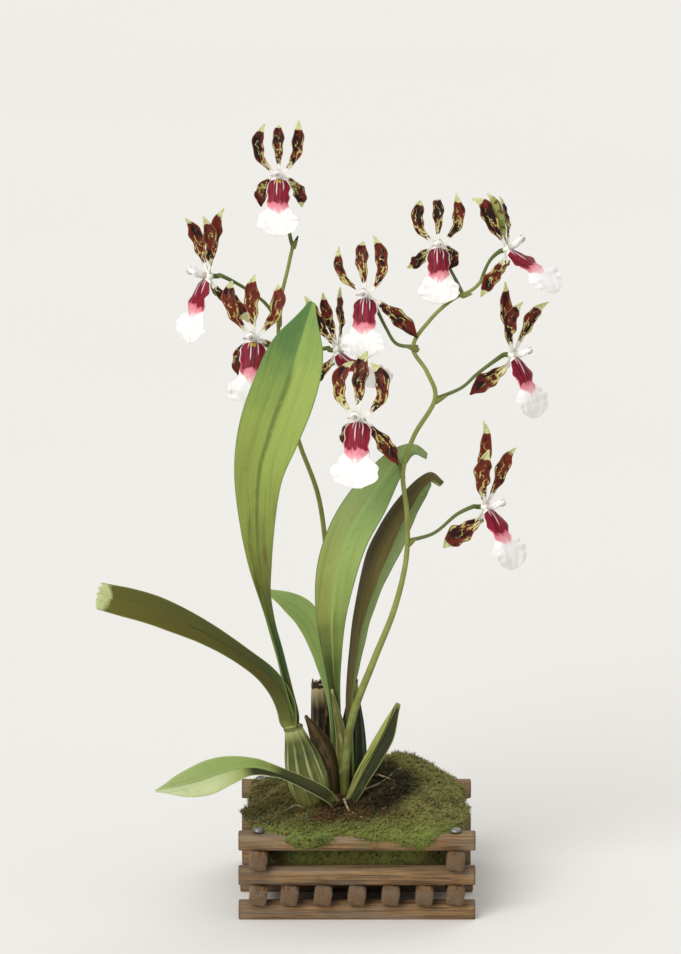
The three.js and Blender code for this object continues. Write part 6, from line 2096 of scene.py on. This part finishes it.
@dataclass(frozen=True)
class Moss:
    """The mound of moss, squared off to fill the basket. Sizes in mm."""

    half_width: float = 60.0
    dome: float = 16.0
    skirt: float = 7.0
    heel: float = 1.5
    slope: tuple[float, float] = (0.15, 0.12)
    lumps: tuple[float, float] = (1.7, 1.3)
    hollow: tuple[float, float, float, float] = (-8.0, -14.0, 4.0, 20.0)  # place, depth and reach
    sag: float = 1.5
    sides: int = 168
    squareness: float = 5
    clearance: float = 0.35
    tufts: tuple = ((7, 4.4), (6, 3.4), (8, 2.6))  # blades and height
    tuft_blade: float = 0.42
    chips: tuple = ((4.6, 1.2, 0.7), (3.2, 1.3, 0.8), (2.2, 0.9, 0.7))  # length and half widths
    tuft_spacing: float = 1.75
    chip_spacing: float = 2.6
    bark: tuple = ((-6.0, -18.0, 17.0), (-8.0, -40.0, 13.0))  # place and reach of each heap of chips
    stray_bark: float = 0.05
    basket: Basket = field(default_factory=Basket)

    def height(self, x: Array, y: Array) -> Array:
        """Return the height of the mound's top over a place."""
        half = self.half_width
        out = np.minimum(1, np.cbrt(np.abs(x / half) ** 3 + np.abs(y / half) ** 3))
        dome = self.dome * (1 - out**2.6)
        slope = (self.slope[0] * x + self.slope[1] * y) * (1 - out**4)
        coarse = self.lumps[0] * np.sin(x / 6.5 + 1) * np.cos(y / 7.5)
        fine = self.lumps[1] * np.sin(x / 4.1 - y / 5.3)
        away = np.hypot(x - self.hollow[0], y - self.hollow[1]) / self.hollow[3]
        sink = self.hollow[2] * np.exp(-(away**2))
        return self.basket.rim + self.heel + dome + slope + coarse + fine - sink

    def mound(self) -> Object:
        """Make the mound with fine lumps, and the share of moss plants that each place carries."""
        half, rim = self.half_width, self.basket.rim
        plug = self.basket.wall - self.basket.width / 2 - self.clearance
        floor, hem = self.basket.floor_top + self.clearance, rim - self.skirt
        rings = [(plug * t, floor, 0, 0) for t in (0.3, 0.65, 0.95, 1.0)]
        rings += [(plug, z, 0, 0) for z in np.linspace(floor, hem + 1, 14)[1:]]
        edge = [(half - 3, hem), (half, hem + 4), (half + 0.5, rim)]
        rings += [(*spread(edge, t), 1, 1) for t in np.linspace(0, 1, 8)]
        rings += [(half * t, None, 1 if t > 0.95 else 0.4, 0) for t in np.linspace(0.97, 0.02, 44)]
        angle = turns(self.sides)
        square = squared(angle, self.squareness)
        ragged = 1.6 * np.sin(7 * angle) + 1.2 * np.sin(13 * angle + 1)
        levels = []
        for radius, level, rag, hang in rings:
            reach = radius * square + ragged * rag
            x, y = np.cos(angle) * reach, -np.sin(angle) * reach
            z = self.height(x, y) if level is None else level + self.sag * np.sin(5 * angle) * hang
            levels.append(np.stack([x, y, z + 0 * x], axis=-1))
        grid = np.array(levels)
        on_top = np.array([r[1] is None or r[3] > 0 for r in rings])[:, None]
        bump = rough(grid, 5.0, 1.0, 4) * np.where(on_top, 1.3, 0.25)
        out = unit(grid * [1.0, 1.0, 0.0])
        lean = np.array([0.0 if r[1] is None else 1.0 for r in rings])[:, None, None]
        grid = grid + bump[..., None] * (out * lean * 0.7 + np.array([0, 0, 1.0]) * (1 - lean))
        ends = [[0, 0, floor], [0, 0, float(grid[-1, :, 2].mean())]]
        cover = np.array([0.6 if r[1] is not None and r[3] == 0 else 1.0 for r in rings])[:, None] + 0 * bump
        cover = np.where(grid[..., 2] < floor + 1, 0.0, cover)
        share = np.stack([cover, 0 * cover, 0 * cover], axis=-1).reshape(-1, 3)
        form = Form("moss_mound_base")
        points = np.vstack([grid.reshape(-1, 3), ends])
        form.add(points, closed_walls(*cover.shape), share=np.vstack([share, [0, 0, 0], [1, 0, 0]]))
        return form.made(MossFinish("moss_bed").material())

    def tuft(self, name: str, blades: int, tall: float, wide: float, seed: int) -> Object:
        """Make one moss plant of thin three-sided blades round the origin."""
        draw = np.random.default_rng(seed)
        form = Form(name)
        for i in range(blades):
            turn = TAU * i / blades + draw.uniform(-0.4, 0.4)
            lean, reach = draw.uniform(0.25, 1.15), tall * draw.uniform(0.6, 1.0)
            out = np.array([math.cos(turn), math.sin(turn), 0.0])
            tip = out * math.sin(lean) * reach + np.array([0, 0, math.cos(lean) * reach])
            across = np.array([-out[1], out[0], 0.0]) * wide
            foot = [across - out * wide * 0.5, out * wide, -across - out * wide * 0.5]
            points = np.array([*foot, tip]) - [0, 0, 0.4]
            share = np.array([[0, 0, 0]] * 3 + [[0, 1, 0]], float)
            faces = [(0, 1, 2), (1, 0, 3), (2, 1, 3), (0, 2, 3)]
            form.add(points, np.array(faces), share=share)
        return form.made()

    def chip(self, name: str, size: Sequence[float], seed: int) -> Object:
        """Make one chip of bark round the origin."""
        draw = np.random.default_rng(seed)
        form = Form(name)
        s = np.linspace(0.05, 0.95, 5)
        middle = np.stack([(s - 0.5) * size[0], 0 * s, 0 * s], -1)
        frames = straight(middle, (1.0, 0.0, 0.0), (0.0, 0.0, 1.0))
        bow = ball(s)[:, None]
        wide = bow * size[1] * draw.uniform(0.7, 1.2, (5, 6))
        form.add_tube(frames, wide, bow * size[2] * draw.uniform(0.6, 1.2, (5, 6)))
        return form.made()

    def recipe(self) -> Recipe:
        """Return the tree that strews small plants over a surface."""
        recipe = Recipe("strewn")
        plants = [recipe.knob(f"Plant {i}", "NodeSocketObject") for i in (1, 2, 3)]
        spacing = recipe.knob("Spacing", "NodeSocketFloat", 1.7 * MM)
        density = recipe.knob("Density", "NodeSocketFloat", 500000.0)
        least = recipe.knob("Least", "NodeSocketFloat", 0.6)
        most = recipe.knob("Most", "NodeSocketFloat", 1.2)
        upright = recipe.knob("Upright", "NodeSocketFloat", 0.5)
        seed = recipe.knob("Seed", "NodeSocketInt", 7)
        cover = recipe.node("ShaderNodeSeparateXYZ", {0: recipe.named("share", "FLOAT_VECTOR")}).outputs[0]
        spots = recipe.node("DistributePointsOnFaces", {0: recipe.geometry()}, distribute_method="POISSON")
        cast = {"Distance Min": spacing, "Density Max": density, "Density Factor": cover, "Seed": seed}
        for key, value in cast.items():
            recipe.tree.links.new(value, spots.inputs[key])
        parts = recipe.node("JoinGeometry")
        for plant in plants:
            info = recipe.node("ObjectInfo", {"Object": plant, "As Instance": True})
            recipe.tree.links.new(info.outputs["Geometry"], parts.inputs[0])
        up = recipe.node("ShaderNodeMix", {0: upright}, data_type="VECTOR")
        recipe.tree.links.new(spots.outputs["Normal"], up.inputs[4])
        up.inputs[5].default_value = (0.0, 0.0, 1.0)
        stand = recipe.node("FunctionNodeAlignRotationToVector", {"Vector": up.outputs[1]}, axis="Z")
        spin = recipe.tree.nodes.new("ShaderNodeCombineXYZ")
        recipe.tree.links.new(recipe.random(0.0, TAU, 11), spin.inputs[2])
        local = recipe.node("FunctionNodeEulerToRotation", {0: spin.outputs[0]})
        turned = recipe.node(
            "FunctionNodeRotateRotation", {0: stand.outputs[0], 1: local.outputs[0]}, rotation_space="LOCAL"
        )
        size = recipe.tree.nodes.new("FunctionNodeRandomValue")
        recipe.tree.links.new(least, size.inputs[2])
        recipe.tree.links.new(most, size.inputs[3])
        size.inputs[8].default_value = 5
        picked = {0: spots.outputs[0], "Instance": parts.outputs[0], "Pick Instance": True}
        set_up = {"Rotation": turned.outputs[0], "Scale": size.outputs[1]}
        laid = recipe.node("InstanceOnPoints", {**picked, **set_up})
        stored = {0: laid.outputs[0], "Name": "shade", "Value": recipe.random(0.0, 1.0, 3)}
        shade = recipe.node("StoreNamedAttribute", stored, data_type="FLOAT", domain="INSTANCE")
        recipe.end(shade.outputs[0])
        return recipe

    def copy_of(self, base: Object, name: str, keep: Callable[[Array], Array]) -> Object:
        """Copy the mound as a guide whose cover is scaled by a function of its points in mm."""
        mesh = base.data.copy()
        count = len(mesh.vertices)
        place, share = np.zeros(count * 3), np.zeros(count * 3)
        mesh.vertices.foreach_get("co", place)
        mesh.attributes["share"].data.foreach_get("vector", share)
        share = share.reshape(-1, 3)
        share[:, 0] *= keep(place.reshape(-1, 3) / MM)
        mesh.attributes["share"].data.foreach_set("vector", share.ravel())
        return link(bpy.data.objects.new(name, mesh))

    def build(self) -> None:
        """Make the mound, the moss plants, the bark chips and the fine roots."""
        base = self.mound()
        recipe = self.recipe()
        tufts = [self.tuft(f"tuft_{i}", *tuft, self.tuft_blade, 20 + i) for i, tuft in enumerate(self.tufts)]
        guide = self.copy_of(base, "moss_spots", self.moss_cover)
        plants = recipe.serve(
            guide, "moss_plants", material=MossFinish("moss_plants", lift=0.35).material(), plant_1=tufts[0],
            plant_2=tufts[1], plant_3=tufts[2], spacing=self.tuft_spacing * MM, least=0.6, most=1.15,
        )
        chips = [self.chip(f"chip_{i}", size, 30 + i) for i, size in enumerate(self.chips)]
        guide = self.copy_of(base, "chip_spots", self.chip_cover)
        bark = recipe.serve(
            guide, "bark_chips", material=ChipFinish().material(), plant_1=chips[0], plant_2=chips[1],
            plant_3=chips[2], spacing=self.chip_spacing * MM, least=0.6, most=1.3, upright=0.2, seed=9,
        )
        strands = Strands()
        for route in FINE_ROOTS:
            spine = RouteSpine(np.array([self.on_moss(*place) for place in route]), [[0, 0, 1], [0, 0, 1]])
            strands.add(spine, FINE_ROOT_RADII, 1.0)
        roots = strands.made("fine_roots", RootFinish("fine_roots", "#cdbf94", "#8f7b50").material(), 8)
        for piece in (base, plants, bark, roots):
            finish_piece(piece, "moss", "moss_mound")
        for prototype in (*tufts, *chips):
            bpy.data.objects.remove(prototype)

    def moss_cover(self, p: Array) -> Array:
        """Return how thickly moss plants stand at points in mm."""
        x, y = self.hollow[:2]
        return np.clip(np.hypot(p[:, 0] - x, p[:, 1] - y) / 22, 0.25, 1)

    def chip_cover(self, p: Array) -> Array:
        """Return how thickly bark chips lie at points in mm."""
        heaps = sum(bell(np.hypot(p[:, 0] - x, p[:, 1] - y), 0, reach) for x, y, reach in self.bark)
        return np.where(p[:, 2] > 50, np.clip(self.stray_bark + heaps, 0, 1), 0.0)

    def on_moss(self, column: float, row: float, lift: float = 0.4) -> Array:
        """Return the point of the moss that shows at a pixel, raised a little in mm."""
        depths = np.linspace(-self.half_width, self.half_width, 241)
        points = np.array([PICTURE.seen(column, row, depth) for depth in depths])
        under = points[:, 2] < self.height(points[:, 0], points[:, 1])
        return points[int(np.argmax(under))] + [0, 0, lift]


@dataclass(frozen=True)
class Studio:
    """The pale floor and the soft lights."""

    floor_radius: float = 14.0
    floor_rings: int = 12
    floor_sides: int = 48
    sky: float = 0.55
    key_power: float = 2.0
    back_power: float = 0.5
    key: tuple[float, float, float] = (-0.55, -0.85, 0.8)
    back: tuple[float, float, float] = (0.5, 0.8, 0.7)
    softness: float = 40.0

    def build(self) -> None:
        """Set the floor, the world and the lights."""
        radii = self.floor_radius * (np.arange(1, self.floor_rings + 1) / self.floor_rings) ** 2
        angle = turns(self.floor_sides)
        ring = np.stack([np.cos(angle), np.sin(angle), 0 * angle], -1)
        points = np.concatenate([ring * r for r in radii] + [[[0, 0, 0]]])
        faces = ring_walls(self.floor_rings, self.floor_sides).tolist()
        faces += [[i, (i + 1) % self.floor_sides, len(points) - 1] for i in range(self.floor_sides)]
        mesh = bpy.data.meshes.new("studio_floor")
        mesh.from_pydata(points.tolist(), [], faces)
        mesh.materials.append(FloorFinish().material())
        floor = link(bpy.data.objects.new("studio_floor", mesh))
        floor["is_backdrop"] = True
        world = bpy.data.worlds.new("studio")
        world.use_nodes = True
        sky = world.node_tree.nodes["Background"]
        sky.inputs["Color"].default_value = linear("#f7f6f4")
        sky.inputs["Strength"].default_value = self.sky
        bpy.context.scene.world = world
        bpy.context.scene.view_settings.view_transform = "Standard"
        lights = (("key_light", self.key, self.key_power), ("back_light", self.back, self.back_power))
        for name, place, power in lights:
            data = bpy.data.lights.new(name, "SUN")
            data.energy, data.angle = power, math.radians(self.softness)
            lamp = link(bpy.data.objects.new(name, data))
            lamp.rotation_euler = (-Vector(place)).to_track_quat("-Z", "Y").to_euler()


def main() -> None:
    """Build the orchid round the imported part."""
    logging.basicConfig(level=logging.INFO, format="%(name)s: %(message)s")
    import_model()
    cad_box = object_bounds()
    ENVELOPE.low, ENVELOPE.high = (np.array(corner) for corner in cad_box)
    PICTURE.camera()
    for sub_assembly in (Basket(), Stock(), *BULBS, Foliage(), Spikes(), Flowers(), Moss(), Studio()):
        log.info("building %s", type(sub_assembly).__name__)
        sub_assembly.build()
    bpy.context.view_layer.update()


if __name__ == "__main__":
    main()
